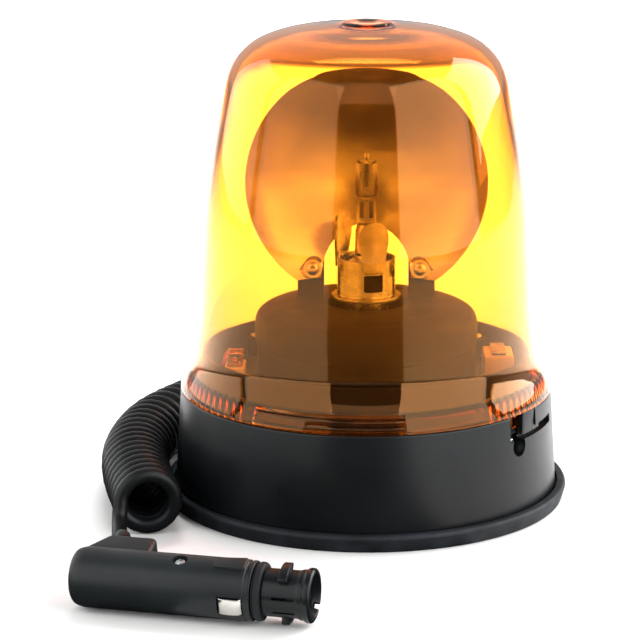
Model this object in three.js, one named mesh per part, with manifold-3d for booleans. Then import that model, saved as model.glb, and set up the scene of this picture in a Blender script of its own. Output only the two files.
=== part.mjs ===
// Rotating amber beacon for a vehicle roof: magnetic base, halogen bulb, turning dish
// reflector, curly cord and a universal lighter plug. Millimetres, +Z up, the origin at
// the middle of the underside. The beacon's front is towards -Y.
import * as THREE from 'three';
import { mergeVertices } from 'three/addons/utils/BufferGeometryUtils.js';
import Module from 'manifold-3d';

const wasm = await Module();
wasm.setup();

// ---- driving dimensions ----
const clearance = 0.3;            // between pieces that touch
const roundSegments = 32;         // facets round a large piece
const smallSegments = 12;         // facets round a small piece

// foot ring and base housing
const lipRadius = 84;
const lipHeight = 5.8;
const footRadius = 82.3;
const grooveFloor = 4;
const housingFootRadius = 79.7;
const housingTopRadius = 77.1;
const housingWall = 2.6;
const seamHeight = 46.5;
const baseFloorHeight = 16.5;
const baseFloorThickness = 2.5;
const ledgeDepth = 9.5;           // from the seam down
const ledgeHeight = seamHeight - ledgeDepth;
const ledgeThickness = 2.5;
const ledgeInnerRadius = 66;

// magnet
const magnetRadius = 55;
const magnetCupWall = 4;
const magnetFace = 0.4;
const magnetCoreRadius = 18;

// chassis tray
const trayRadius = 67.6;
const trayWall = 1.8;
const trayRim = 63.3;
const trayFloor = 48;
const trayFloorThickness = 2;
const trayBossHeight = 8;
const screwCircle = 59;
const screwAngles = [37, 143, 217, 323];
const screwRadius = 1.7;

// dome lens
const domeHeight = 199.2;
const domeWall = 2.2;
const spigotRadius = 73.8;
const spigotWall = 2.2;
const spigotDepth = 6.5;
const tabDepth = 8.9;
const topBossRadius = 9.8;
const topBossRise = 0.9;

// bayonet: angles are measured round +Z from the front, towards the right
const slotStart = 48.9;
const slotEntryEnd = 63.4;
const slotEnd = 77.3;
const slotDepth = 10.5;           // from the seam down, as the next two
const hookDepth = 7;
const lockScrewDepth = 12.7;
const slotFloorHeight = seamHeight - slotDepth;
const hookUnderside = seamHeight - hookDepth;
const tabStart = 55.7;
const tabEnd = 62.8;
const tabFootEnd = 66.8;
const tabFootThickness = 1.5;
const lockScrewAngle = 53.2;
const lockScrewHeight = seamHeight - lockScrewDepth;
const pocketRadius = 4.3;
const pocketDepth = 5.2;

// spindle and rotor
const spindleRadius = 9;
const spindleWall = 2;
const spindleTop = 84.7;
const spindleFlangeRadius = 14.6;
const bushWall = 2;
const drumRadius = 46;
const drumWall = 2.6;
const drumBottom = 52;
const drumBandTop = 65.4;
const drumShoulder = 75.5;
const plateauHeight = 83.2;
const plateauRadius = 29;
const wellRadius = 16.7;
const wellWall = 2.2;
const wellFloor = 62;
const hubHeight = 16.2;
const hubWall = 2.8;

// reflector
const dishRadius = 49.3;
const dishCentreHeight = 134;
const dishFocus = 21.5;
const dishThickness = 1.2;
const dishCutHeight = 93.5;
const archRadius = 18.5;
const archCentreHeight = 94;
const rivetOffset = 22;
const rivetHeight = 97.6;
const rivetHeadRadius = 2.7;
const rivetShankRadius = 1.4;
const uprightInner = 17.5;
const uprightOuter = 28.5;
const uprightFront = 6.2;
const uprightThickness = 3;
const uprightTop = 101.4;

// rotor drive
const gearModule = 1.25;
const ringTeeth = 64;
const pinionTeeth = 10;
const gearBottom = 53.6;
const gearThickness = 7.4;
const gearPlay = 0.22;            // taken from each tooth flank, along the pitch circle
const motorAngle = 90;
const motorRadius = 13.85;
const motorBottom = 23.3;
const motorShaftRadius = 1;
const motorScrewSpacing = 8;

// bulb and its holder
const holderRadius = 12;
const holderWall = 1;
const holderFlangeRadius = 14.4;
const holderFlangeThickness = 1.5;
const holderTop = 102;
const bulbGlassRadius = 4.5;
const bulbGlassBottom = 127.4;
const bulbGlassTop = 141.6;
const bulbBaseTop = 116;
const clipAngles = { clip_front: -75, clip_rear: 148 };
const clipFoot = 97.2;
const clipTop = 119;
const clipWidth = 12;
const clipThickness = 0.9;

// parts in the tray
const chokeRadius = 3.6;
const chokeLength = 15;
const terminalBlockSize = [8, 14, 9.6];
const capacitorSize = [12.4, 17, 11.6];

// cord: the outer size of the curly part, and of the cable
const cableRadius = 3.1;
const coilRadius = 14.3;
const glandAngle = 85;
const glandHeight = 25;
const glandLength = 22;
const coilRoute = [
  [9, 147], [-10, 146], [-36, 129], [-58, 101], [-76, 73],
  [-90.5, 44], [-96.3, 12], [-94.9, -20], [-88, -58.5],
];
const leadRoute = [
  [8.9, 100.9, 24.9], [9.7, 108, 24], [10.9, 116, 22.7], [12, 124, 22.3],
  [13, 132, 23], [13.8, 140, 24.7], [14.1, 147, 25.5],
];
const tailRoute = [
  [-98.4, -64.2, 14.3], [-98.3, -67.5, 10.2], [-98, -73.5, 6], [-97.6, -81, 4.2],
  [-97, -89, 5], [-96.2, -97, 8], [-95.1, -105, 12], [-94, -113, 15.9],
  [-93, -120, 18.6], [-92.6, -124, 19.3], [-92.8, -127.4, 18.8], [-93.6, -131.1, 17.5],
];

// lighter plug: x runs along it from the rounded end, z is away from the floor
const plugPosition = [-109.2, -146.6, 12.2];
const plugTurn = -13.4;
const plugRoll = 16;
const plugRadius = 11.5;
const plugBodyLength = 71;
const plugWall = 2;
const kneeReach = 19;
const kneeStart = 2.4;
const kneeWidth = 25.4;
const kneeCornerAlong = 7;
const kneeCornerBack = 9;
const kneeHeight = 15;
const shellScrewPlace = 42.5;
const wedgeStart = 57;
const wedgeLength = 12;
const wedgeHalfWidth = 3;
const contactPlace = 63.6;
const contactLength = 9;
const contactWidth = 6.6;
const contactProud = 0.7;
const endRingLength = 3.4;
const noseRadius = 5.6;
const noseFlange = 7.2;
const noseLength = 20;
const pinRadius = 1.9;
const collarRadius = 9;
const collarWall = 1.8;
const collarLength = 18.6;
const collarRimRadius = 10.3;
const lugRadius = 11.6;
const lugPlace = 6.4;

// ---- materials ----
const finish = (color, roughness, metalness = 0, extra = {}) =>
  new THREE.MeshStandardMaterial({ color, roughness, metalness, ...extra });
const materials = {
  amber: finish(0xffa400, 0.08, 0, { transparent: true, opacity: 0.45 }),
  housing: finish(0x2a2c2e, 0.42),
  rubber: finish(0x232628, 0.7),
  chassis: finish(0x1c1c1d, 0.55),
  steel: finish(0xb9bcc0, 0.35, 1),
  ferrite: finish(0x3a3a3c, 0.8),
  mirror: finish(0xe8e8ea, 0.12, 1),
  brass: finish(0xd9b457, 0.3, 1),
  bronze: finish(0xb5844c, 0.45, 1),
  nylon: finish(0xe9e4d6, 0.5),
  glass: finish(0xf2f6f8, 0.03, 0, { transparent: true, opacity: 0.35 }),
  red: finish(0xc8321e, 0.45),
  cable: finish(0x26282a, 0.5),
  plug: finish(0x2b2f31, 0.48),
};

// ---- helpers ----
const radians = (degrees) => degrees * Math.PI / 180;
const fromFront = (degrees) => degrees - 90;
const polar = (radius, degrees) => [
  radius * Math.cos(radians(degrees)),
  radius * Math.sin(radians(degrees)),
];

// a closed solid from a three.js geometry
function solid(geometry) {
  const bare = geometry.index ? geometry.toNonIndexed() : geometry.clone();
  for (const name of Object.keys(bare.attributes)) {
    if (name !== 'position') bare.deleteAttribute(name);
  }
  const merged = mergeVertices(bare, 1e-5);
  const corners = merged.index.array;
  const kept = [];
  for (let i = 0; i < corners.length; i += 3) {
    const [a, b, c] = [corners[i], corners[i + 1], corners[i + 2]];
    if (a !== b && b !== c && c !== a) kept.push(a, b, c);
  }
  const vertProperties = new Float32Array(merged.attributes.position.array);
  const build = (triangles) => new wasm.Manifold(
    new wasm.Mesh({ numProp: 3, vertProperties, triVerts: new Uint32Array(triangles) }));
  const body = build(kept);
  if (body.volume() > 0) return body;
  const flipped = [];
  for (let i = 0; i < kept.length; i += 3) flipped.push(kept[i], kept[i + 2], kept[i + 1]);
  return build(flipped);
}

function geometryOf(body) {
  const mesh = body.getMesh();
  const geometry = new THREE.BufferGeometry();
  geometry.setAttribute('position', new THREE.BufferAttribute(mesh.vertProperties, 3));
  geometry.setIndex(new THREE.BufferAttribute(mesh.triVerts, 1));
  geometry.computeVertexNormals();
  return geometry;
}

const join = (...bodies) => bodies.reduce((whole, body) => whole.add(body));
const cut = (body, ...tools) => tools.reduce((rest, tool) => rest.subtract(tool), body);

// a profile of [radius, height] points turned round Z
function lathe(points, segments = roundSegments) {
  const profile = points.map(([radius, height]) => new THREE.Vector2(radius, height));
  const closed = points.some(([radius]) => radius > 0) && points[0][0] > 0;
  if (closed) profile.push(profile[0].clone());
  const geometry = new THREE.LatheGeometry(profile, segments);
  geometry.rotateX(Math.PI / 2);
  return solid(geometry);
}

function tube(inner, outer, bottom, top, segments = roundSegments) {
  return lathe([[inner, bottom], [outer, bottom], [outer, top], [inner, top]], segments);
}

function rod(radius, bottom, top, segments = smallSegments) {
  const geometry = new THREE.CylinderGeometry(radius, radius, top - bottom, segments);
  geometry.rotateX(Math.PI / 2);
  geometry.translate(0, 0, (top + bottom) / 2);
  return solid(geometry);
}

function block(low, high) {
  const size = high.map((value, axis) => value - low[axis]);
  const geometry = new THREE.BoxGeometry(...size);
  geometry.translate(...high.map((value, axis) => (value + low[axis]) / 2));
  return solid(geometry);
}

function prism(outline, bottom, top) {
  const shape = new THREE.Shape(outline.map(([x, y]) => new THREE.Vector2(x, y)));
  const geometry = new THREE.ExtrudeGeometry(shape, { depth: top - bottom, bevelEnabled: false });
  geometry.translate(0, 0, bottom);
  return solid(geometry);
}

// a slice of a ring between two angles
function sector(inner, outer, bottom, top, from, to) {
  const steps = Math.max(2, Math.ceil((to - from) / 4));
  const angles = Array.from({ length: steps + 1 }, (_, i) => from + (to - from) * i / steps);
  const outline = [
    ...angles.map((angle) => polar(outer, angle)),
    ...angles.reverse().map((angle) => polar(inner, angle)),
  ];
  return prism(outline, bottom, top);
}

// turns a solid made along Z so that it points along +X, then round Z
const alongX = (body, angle = 0) => body.rotate([0, 90, 0]).rotate([0, 0, angle]);
// turns a solid made along Z so that it points towards -Y
const towardsFront = (body) => body.rotate([90, 0, 0]);

function sweep(points, radius, steps, sides) {
  const path = new THREE.CatmullRomCurve3(points.map((point) => new THREE.Vector3(...point)));
  const shape = new THREE.Shape();
  for (let i = 0; i < sides; i += 1) {
    const [x, y] = polar(radius, 360 * (i + 0.5) / sides);
    if (i === 0) shape.moveTo(x, y);
    else shape.lineTo(x, y);
  }
  return solid(new THREE.ExtrudeGeometry(shape, { steps, extrudePath: path, bevelEnabled: false }));
}

const object = new THREE.Group();

function piece(name, body, material, parent = object) {
  const mesh = new THREE.Mesh(geometryOf(body), materials[material].clone());
  mesh.name = name;
  parent.add(mesh);
  return mesh;
}

// ---- base ----
const housingRadiusAt = (height) => housingFootRadius
  + (housingTopRadius - housingFootRadius) * (height - grooveFloor) / (seamHeight - grooveFloor);
const innerTopRadius = housingTopRadius - housingWall;

function footRing() {
  const seat = housingFootRadius + 2 * clearance;
  const inner = housingFootRadius - housingWall - 2 * clearance;
  return lathe([
    [magnetRadius + 15, 0], [footRadius, 0], [lipRadius - 0.5, lipHeight - 1.3],
    [lipRadius, lipHeight], [lipRadius - 1, lipHeight + 1.3], [seat, lipHeight + 1.3],
    [seat, grooveFloor], [inner, grooveFloor], [inner, grooveFloor + 4],
    [magnetRadius + 15, grooveFloor + 4],
  ]);
}

function bayonetSlot(turn) {
  const inner = innerTopRadius - 0.4;
  const outer = housingTopRadius + 3;
  const entry = sector(inner, outer, slotFloorHeight, seamHeight + 1,
    fromFront(slotStart), fromFront(slotEntryEnd));
  const lock = sector(inner, outer, slotFloorHeight, hookUnderside,
    fromFront(slotEntryEnd - 1), fromFront(slotEnd));
  return join(entry, lock).rotate([0, 0, turn]);
}

function baseHousing() {
  const foot = grooveFloor + clearance;
  const floorTop = baseFloorHeight + baseFloorThickness;
  const footInner = housingFootRadius - housingWall;
  const boltHole = 3.3;
  let body = lathe([
    [boltHole, baseFloorHeight], [footInner - 0.2, baseFloorHeight], [footInner, foot],
    [housingRadiusAt(foot), foot], [housingTopRadius, seamHeight], [innerTopRadius, seamHeight],
    [innerTopRadius, ledgeHeight], [ledgeInnerRadius, ledgeHeight],
    [ledgeInnerRadius, ledgeHeight - ledgeThickness],
    [housingRadiusAt(ledgeHeight) - housingWall, ledgeHeight - ledgeThickness],
    [housingRadiusAt(floorTop) - housingWall, floorTop], [boltHole, floorTop],
  ]);
  for (const angle of screwAngles) {
    const [x, y] = polar(screwCircle, angle);
    const post = rod(4.6, floorTop - 1, trayFloor - clearance).translate([x, y, 0]);
    const hole = rod(screwRadius + clearance, trayFloor - 16, trayFloor).translate([x, y, 0]);
    body = cut(join(body, post), hole);
  }
  const bossDepth = 12;
  const boss = block([innerTopRadius - bossDepth, -6.5, lockScrewHeight - 5.5],
    [innerTopRadius + 1, 6.5, ledgeHeight]).rotate([0, 0, fromFront(lockScrewAngle)]);
  const pocketBottom = housingTopRadius - pocketDepth;
  const pocket = alongX(rod(pocketRadius, pocketBottom, lipRadius), fromFront(lockScrewAngle));
  const thread = alongX(rod(1.8, innerTopRadius - bossDepth + 2, lipRadius),
    fromFront(lockScrewAngle));
  const glandHole = alongX(rod(5.2, ledgeInnerRadius, lipRadius), glandAngle);
  return cut(join(body, boss),
    pocket.translate([0, 0, lockScrewHeight]),
    thread.translate([0, 0, lockScrewHeight]),
    glandHole.translate([0, 0, glandHeight]),
    bayonetSlot(0), bayonetSlot(180));
}

function lockScrew() {
  const pocketBottom = housingTopRadius - pocketDepth;
  const head = lathe([
    [0, pocketBottom + clearance], [2.8, pocketBottom + clearance],
    [2.8, pocketBottom + 1.2], [1.9, pocketBottom + 2.1], [0, pocketBottom + 2.2],
  ], smallSegments);
  const slot = join(
    block([-1.9, -0.35, pocketBottom + 1.2], [1.9, 0.35, pocketBottom + 3]),
    block([-0.35, -1.9, pocketBottom + 1.2], [0.35, 1.9, pocketBottom + 3]));
  const shank = rod(1.5, innerTopRadius - 8, pocketBottom + 0.5, 12);
  return alongX(cut(join(head, shank), slot), fromFront(lockScrewAngle))
    .translate([0, 0, lockScrewHeight]);
}

const magnetTop = baseFloorHeight - clearance;

function magnetCup() {
  const boltBore = 3.1;
  return lathe([
    [0, magnetFace], [magnetCoreRadius, magnetFace],
    [magnetCoreRadius, magnetTop - magnetCupWall],
    [magnetRadius - magnetCupWall, magnetTop - magnetCupWall],
    [magnetRadius - magnetCupWall, magnetFace], [magnetRadius, magnetFace],
    [magnetRadius, magnetTop], [boltBore, magnetTop], [boltBore, magnetTop - 9],
    [0, magnetTop - 9],
  ]);
}

function ringMagnet() {
  return tube(magnetCoreRadius + clearance, magnetRadius - magnetCupWall - clearance,
    magnetFace + 0.5, magnetTop - magnetCupWall - clearance);
}

function hexHead(radius, bottom, top) {
  return rod(radius, bottom, top, 6);
}

function magnetBolt() {
  const headBottom = baseFloorHeight + baseFloorThickness + clearance;
  return join(hexHead(5.5, headBottom, headBottom + 4), rod(2.8, magnetTop - 8.5, headBottom + 1));
}

function buildBase() {
  piece('foot_ring', footRing(), 'rubber');
  piece('base_housing', baseHousing(), 'housing');
  piece('lock_screw', lockScrew(), 'steel');
  piece('magnet_cup', magnetCup(), 'steel');
  piece('ring_magnet', ringMagnet(), 'ferrite');
  piece('magnet_bolt', magnetBolt(), 'steel');
}

// ---- chassis tray and what stands in it ----
const trayInner = trayRadius - trayWall;
const trayTop = trayFloor + trayFloorThickness;
const bossTop = trayTop + trayBossHeight;
const [motorX, motorY] = polar(gearModule * (ringTeeth - pinionTeeth) / 2, motorAngle);

function trayScrew(angle) {
  const [x, y] = polar(screwCircle, angle);
  const underHead = bossTop + clearance;
  const head = lathe([
    [0, underHead], [3.2, underHead], [3.2, underHead + 1.2], [2, underHead + 2.2],
    [0, underHead + 2.3],
  ], smallSegments);
  const shank = rod(screwRadius, trayFloor - 14, underHead + 0.5, 12);
  return join(head, shank).translate([x, y, 0]);
}

const wirePorts = [[-60.6, -9.5], [-60.4, -17]];

function chassisTray() {
  const spindleHole = spindleRadius + clearance;
  const seat = ledgeHeight + clearance;
  let body = lathe([
    [spindleHole, trayFloor], [trayInner, trayFloor], [trayInner, seat], [trayRadius, seat],
    [trayRadius, trayRim], [trayInner, trayRim], [trayInner, trayTop],
    [spindleFlangeRadius, trayTop], [spindleFlangeRadius, trayTop + 1.5],
    [spindleHole, trayTop + 1.5],
  ]);
  for (const angle of screwAngles) {
    const [x, y] = polar(screwCircle, angle);
    const boss = rod(4.6, trayFloor + 1, bossTop).translate([x, y, 0]);
    const hole = rod(screwRadius + clearance, trayFloor - 1, bossTop + 1).translate([x, y, 0]);
    body = cut(join(body, boss), hole);
  }
  const motorHoles = [
    rod(3.6, trayFloor - 1, trayTop + 1).translate([motorX, motorY, 0]),
    ...[-1, 1].map((side) => rod(1.5, trayFloor - 1, trayTop + 1, 12)
      .translate([motorX + side * motorScrewSpacing, motorY, 0])),
  ];
  const ports = wirePorts.map(([x, y]) => rod(2, trayFloor - 1, trayTop + 1, 12)
    .translate([x, y, 0]));
  return cut(body, ...motorHoles, ...ports);
}

function lensSeal() {
  return tube(spigotRadius - spigotWall - 0.6, spigotRadius - 0.8, ledgeHeight + clearance,
    seamHeight - spigotDepth - clearance);
}

function noiseChoke() {
  const body = lathe([
    [0, 0], [chokeRadius - 0.8, 0], [chokeRadius, 0.8], [chokeRadius, chokeLength - 0.8],
    [chokeRadius - 0.8, chokeLength], [0, chokeLength],
  ], smallSegments);
  return towardsFront(body).translate([-56.6, chokeLength - 5, trayTop + chokeRadius + 2]);
}

const terminalBlockPlace = [-53.3, -17, trayTop + clearance];

function terminalBlock() {
  const [x, y, z] = terminalBlockPlace;
  const [width, depth, height] = terminalBlockSize;
  const body = block([x - width / 2, y - depth / 2, z],
    [x + width / 2, y + depth / 2, z + height]);
  const notches = [-1, 1].map((side) => block(
    [x - 3.4, y + side * 3.6 - 0.9, z + height - 6], [x + 3.4, y + side * 3.6 + 0.9, z + height + 1]));
  const split = block([x - width, y - 0.8, z + height - 2.5], [x + width, y + 0.8, z + height + 1]);
  return cut(body, ...notches, split);
}

function brassTerminal(side) {
  const [x, y, z] = terminalBlockPlace;
  const top = z + terminalBlockSize[2];
  const blade = block([x - 3.1, y + side * 3.6 - 0.45, top - 5.6],
    [x + 3.1, y + side * 3.6 + 0.45, top + 5.4]);
  const hole = towardsFront(rod(0.9, -2, 2, 10)).translate([x, y + side * 3.6, top + 3.2]);
  const shoulder = block([x - 3.1, y + side * 3.6 - 1.5, top + clearance],
    [x + 3.1, y + side * 3.6 + 1.5, top + 1.1]);
  return cut(join(blade, shoulder), hole);
}

const capacitorPlace = [54.8, -2, trayTop + clearance];

function capacitor() {
  const [x, y, z] = capacitorPlace;
  const [width, depth, height] = capacitorSize;
  return block([x - width / 2, y - depth / 2, z], [x + width / 2, y + depth / 2, z + height]);
}

function capacitorStrap() {
  const [x, y, z] = capacitorPlace;
  const [, depth, height] = capacitorSize;
  const top = z + height + clearance;
  const far = y + depth / 2 + clearance;
  const over = block([x - 3, y - depth / 2, top], [x + 3, far + 1, top + 1]);
  const leg = block([x - 3, far, trayTop + clearance], [x + 3, far + 1, top + 1]);
  const foot = block([x - 3, far, trayTop + clearance], [x + 3, far + 8, trayTop + 1.3]);
  const hole = rod(1.6, trayTop, trayTop + 3, 12).translate([x, far + 4.6, 0]);
  return cut(join(over, leg, foot), hole);
}

function strapScrew() {
  const [x, y] = capacitorPlace;
  const place = [x, y + capacitorSize[1] / 2 + clearance + 4.6, 0];
  const seat = trayTop + 1.3 + clearance;
  return join(rod(2.6, seat, seat + 1.8), rod(1.2, trayTop + clearance, seat + 0.5, 12))
    .translate(place);
}

function feedWire(index) {
  const [portX, portY] = wirePorts[index];
  const runRadius = ledgeInnerRadius + 1.4 + 3 * index;
  const startAngle = glandAngle + 0.5 + 1.5 * index;
  const along = [0, 0.2, 0.4, 0.6, 0.8, 1].map((share) => [
    ...polar(runRadius, startAngle + (184 + 6 * index - startAngle) * share),
    glandHeight - 1 + 3.6 * share,
  ]);
  return sweep([
    ...along,
    [portX - 3, portY, 30.5], [portX - 1, portY, 35], [portX, portY, 41],
    [portX, portY, 48], [portX, portY, trayTop + 5],
  ], 1.1, 30, 5);
}

function buildTray() {
  piece('chassis_tray', chassisTray(), 'chassis');
  piece('lens_seal', lensSeal(), 'rubber');
  screwAngles.forEach((angle, i) => piece(`tray_screw_${i + 1}`, trayScrew(angle), 'steel'));
  piece('noise_choke', noiseChoke(), 'red');
  piece('terminal_block', terminalBlock(), 'nylon');
  piece('terminal_front', brassTerminal(-1), 'brass');
  piece('terminal_rear', brassTerminal(1), 'brass');
  piece('capacitor', capacitor(), 'nylon');
  piece('capacitor_strap', capacitorStrap(), 'steel');
  piece('strap_screw', strapScrew(), 'steel');
  piece('feed_wire_1', feedWire(0), 'red');
  piece('feed_wire_2', feedWire(1), 'cable');
}

// ---- spindle ----
const spindleFlangeBottom = trayTop + 1.5 + clearance;
const spindleFlangeTop = spindleFlangeBottom + 2;
const washerTop = spindleFlangeTop + clearance + 0.6;
const hubBottom = washerTop + clearance;
const hubBore = spindleRadius + clearance + bushWall + clearance;

function spindleTube() {
  const bore = spindleRadius - spindleWall;
  const bottom = trayFloor - 5;
  return lathe([
    [bore, bottom], [spindleRadius, bottom], [spindleRadius, spindleFlangeBottom],
    [spindleFlangeRadius, spindleFlangeBottom], [spindleFlangeRadius, spindleFlangeTop],
    [spindleRadius, spindleFlangeTop], [spindleRadius, spindleTop], [bore, spindleTop],
  ], 20);
}

function spindleNut() {
  const top = trayFloor - clearance;
  return cut(hexHead(14, top - 4, top), rod(spindleRadius + clearance, top - 5, top + 1, 24));
}

function buildSpindle() {
  piece('spindle_tube', spindleTube(), 'steel');
  piece('spindle_nut', spindleNut(), 'steel');
  piece('thrust_washer', tube(spindleRadius + clearance, spindleFlangeRadius - 0.6,
    spindleFlangeTop + clearance, washerTop, 24), 'nylon');
  piece('retaining_ring', tube(spindleRadius + clearance, spindleRadius + 3.2,
    hubBottom + hubHeight + 0.6, hubBottom + hubHeight + 1.5, 24), 'steel');
}

// ---- rotor ----
const ringPitchRadius = gearModule * ringTeeth / 2;
const pinionPitchRadius = gearModule * pinionTeeth / 2;
const drumInner = drumRadius - drumWall;

const involute = (angle) => Math.tan(angle) - angle;

// outline of an external gear; a positive play makes its teeth wider
function gearOutline(teeth, tipRadius, rootRadius, play) {
  const pitchRadius = gearModule * teeth / 2;
  const pressure = radians(20);
  const baseRadius = pitchRadius * Math.cos(pressure);
  const halfTooth = (Math.PI * gearModule / 2 + play) / (2 * pitchRadius);
  const halfAt = (radius) => {
    const ratio = Math.min(1, baseRadius / radius);
    return halfTooth + involute(pressure) - involute(Math.acos(ratio));
  };
  const flank = [0, 1].map((share) => rootRadius + (tipRadius - rootRadius) * share);
  const outline = [];
  for (let tooth = 0; tooth < teeth; tooth += 1) {
    const middle = 2 * Math.PI * tooth / teeth;
    for (const radius of flank) {
      const angle = middle - halfAt(radius);
      outline.push([radius * Math.cos(angle), radius * Math.sin(angle)]);
    }
    for (const radius of [...flank].reverse()) {
      const angle = middle + halfAt(radius);
      outline.push([radius * Math.cos(angle), radius * Math.sin(angle)]);
    }
  }
  return outline;
}

function ringGear() {
  const outer = rod(drumInner - clearance, gearBottom, gearBottom + gearThickness, roundSegments);
  const teeth = prism(gearOutline(ringTeeth, ringPitchRadius + 1.05 * gearModule,
    ringPitchRadius - 0.75 * gearModule, gearPlay), gearBottom - 1, gearBottom + gearThickness + 1);
  return cut(outer, teeth);
}

function drivePinion() {
  const bottom = gearBottom + clearance;
  const top = gearBottom + gearThickness - clearance;
  const body = prism(gearOutline(pinionTeeth, pinionPitchRadius + 0.75 * gearModule,
    pinionPitchRadius - 1.05 * gearModule, -gearPlay), bottom, top);
  const bore = rod(motorShaftRadius + clearance, bottom - 1, top + 1, 12);
  return cut(body, bore).rotate([0, 0, 180 / pinionTeeth]).translate([motorX, motorY, 0]);
}

const dishDepthAt = (radius) => dishFocus - radius * radius / (4 * dishFocus);
const rivetBossBack = uprightFront - clearance;
const rivetBossFront = -3.6;

// the dish, grown by a margin on its back so that other pieces can be kept clear of it
function dish(margin = 0) {
  const steps = 5;
  const radii = Array.from({ length: steps + 1 }, (_, i) => (dishRadius + margin) * i / steps);
  const front = radii.map((radius) => [radius, -dishDepthAt(radius)]);
  const back = radii.map((radius) => [radius, -dishDepthAt(radius) - dishThickness - margin]);
  const shell = lathe([...back, ...front.reverse()], 20);
  return towardsFront(shell).translate([0, 0, dishCentreHeight]);
}

function reflector() {
  const bosses = [-1, 1].map((side) => towardsFront(rod(3.9, -rivetBossBack, -rivetBossFront, 12))
    .translate([side * rivetOffset, 0, rivetHeight]));
  const holes = [-1, 1].map((side) => towardsFront(rod(rivetShankRadius + clearance, -20, 20, 12))
    .translate([side * rivetOffset, 0, rivetHeight]));
  const below = block([-60, -30, 0], [60, 40, dishCutHeight]);
  const arch = towardsFront(rod(archRadius, -40, 20, 24)).translate([0, 0, archCentreHeight]);
  return cut(join(dish(), ...bosses), ...holes, below, arch);
}

function reflectorRivet(side) {
  const headBack = rivetBossFront - clearance;
  const tailFront = uprightFront + uprightThickness + clearance;
  const body = lathe([
    [0, -tailFront - 1], [2.3, -tailFront - 1], [2.3, -tailFront], [rivetShankRadius, -tailFront],
    [rivetShankRadius, -headBack], [rivetHeadRadius, -headBack], [rivetHeadRadius, -headBack + 0.4],
    [1.5, -headBack + 1.2], [0, -headBack + 1.4],
  ], smallSegments);
  return towardsFront(body).translate([side * rivetOffset, 0, rivetHeight]);
}

function upright(side) {
  const [from, to] = [side * uprightInner, side * uprightOuter].sort((a, b) => a - b);
  const plate = block([from, uprightFront, plateauHeight - 1.6],
    [to, uprightFront + uprightThickness, uprightTop]);
  const rib = block([side * 23 - 1, uprightFront + 1, plateauHeight - 1.6],
    [side * 23 + 1, uprightFront + 8, plateauHeight + 7]);
  const hole = towardsFront(rod(rivetShankRadius + clearance, -20, 20, 12))
    .translate([side * rivetOffset, 0, rivetHeight]);
  return cut(join(plate, rib), hole);
}

function rotorDrum() {
  const wellOuter = wellRadius + wellWall;
  const hubOuter = hubBore + hubWall;
  const roof = 2.4;
  const body = lathe([
    [hubBore, hubBottom], [hubOuter, hubBottom], [hubOuter, wellFloor], [wellOuter, wellFloor],
    [wellOuter, plateauHeight - roof], [plateauRadius - 1, plateauHeight - roof],
    [plateauRadius + 6, plateauHeight - roof - 0.8], [drumRadius - 6, plateauHeight - roof - 2.5],
    [drumInner, drumShoulder - 0.5], [drumInner, drumBottom], [drumRadius - 0.6, drumBottom],
    [drumRadius - 0.6, drumBandTop], [drumRadius, drumBandTop + 0.6], [drumRadius, drumShoulder],
    [drumRadius - 1, drumShoulder + 3], [drumRadius - 4.5, plateauHeight - 2.2],
    [drumRadius - 10, plateauHeight - 0.6], [plateauRadius, plateauHeight],
    [wellRadius, plateauHeight], [wellRadius, wellFloor + 2], [hubOuter, wellFloor + 2],
    [hubOuter, hubBottom + hubHeight], [hubBore, hubBottom + hubHeight],
  ]);
  return cut(join(body, upright(-1), upright(1)), dish(clearance));
}

function buildRotor() {
  piece('rotor_drum', rotorDrum(), 'chassis');
  piece('ring_gear', ringGear(), 'nylon');
  piece('rotor_bush', tube(spindleRadius + clearance, hubBore - clearance, hubBottom,
    hubBottom + hubHeight, 24), 'bronze');
  piece('reflector', reflector(), 'mirror');
  piece('reflector_rivet_left', reflectorRivet(-1), 'steel');
  piece('reflector_rivet_right', reflectorRivet(1), 'steel');
}

// ---- motor ----
const motorTop = trayFloor - clearance;

function motorCan() {
  const body = lathe([
    [0, motorBottom], [motorRadius, motorBottom], [motorRadius, motorTop - 1.2],
    [motorRadius - 1.2, motorTop], [3.2, motorTop], [3.2, motorTop + 1.8],
    [motorShaftRadius + clearance, motorTop + 1.8],
    [motorShaftRadius + clearance, motorBottom + 6], [0, motorBottom + 6],
  ], 20);
  const holes = [-1, 1].map((side) => rod(1.5, motorTop - 5, motorTop + 1, 12)
    .translate([side * motorScrewSpacing, 0, 0]));
  return cut(body, ...holes).translate([motorX, motorY, 0]);
}

function motorEndCap() {
  const bottom = baseFloorHeight + baseFloorThickness + clearance;
  const top = motorBottom - clearance;
  const body = rod(motorRadius, bottom + 0.6, top, 32);
  const lugs = [-1, 1].map((side) => block([side * 9 - 1.4, -0.5, bottom],
    [side * 9 + 1.4, 0.5, top - 1]));
  return join(body, ...lugs).translate([motorX, motorY, 0]);
}

function motorScrew(side) {
  const seat = trayTop + clearance;
  return join(rod(2.4, seat, seat + 1.7), rod(1.2, motorTop - 4.5, seat + 0.5, 12))
    .translate([motorX + side * motorScrewSpacing, motorY, 0]);
}

function buildMotor() {
  piece('motor_can', motorCan(), 'steel');
  piece('motor_end_cap', motorEndCap(), 'chassis');
  piece('motor_screw_1', motorScrew(-1), 'steel');
  piece('motor_screw_2', motorScrew(1), 'steel');
  piece('motor_shaft', rod(motorShaftRadius, motorBottom + 6 + clearance,
    gearBottom + gearThickness + 0.6, 12).translate([motorX, motorY, 0]), 'steel');
  piece('drive_pinion', drivePinion(), 'brass');
}

// ---- bulb and holder ----
const holderFlangeBottom = spindleTop + clearance;
const holderFlangeTop = holderFlangeBottom + holderFlangeThickness;
const insulatorTop = holderTop - 3;
const bulbFlangeBottom = insulatorTop + clearance;

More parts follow.
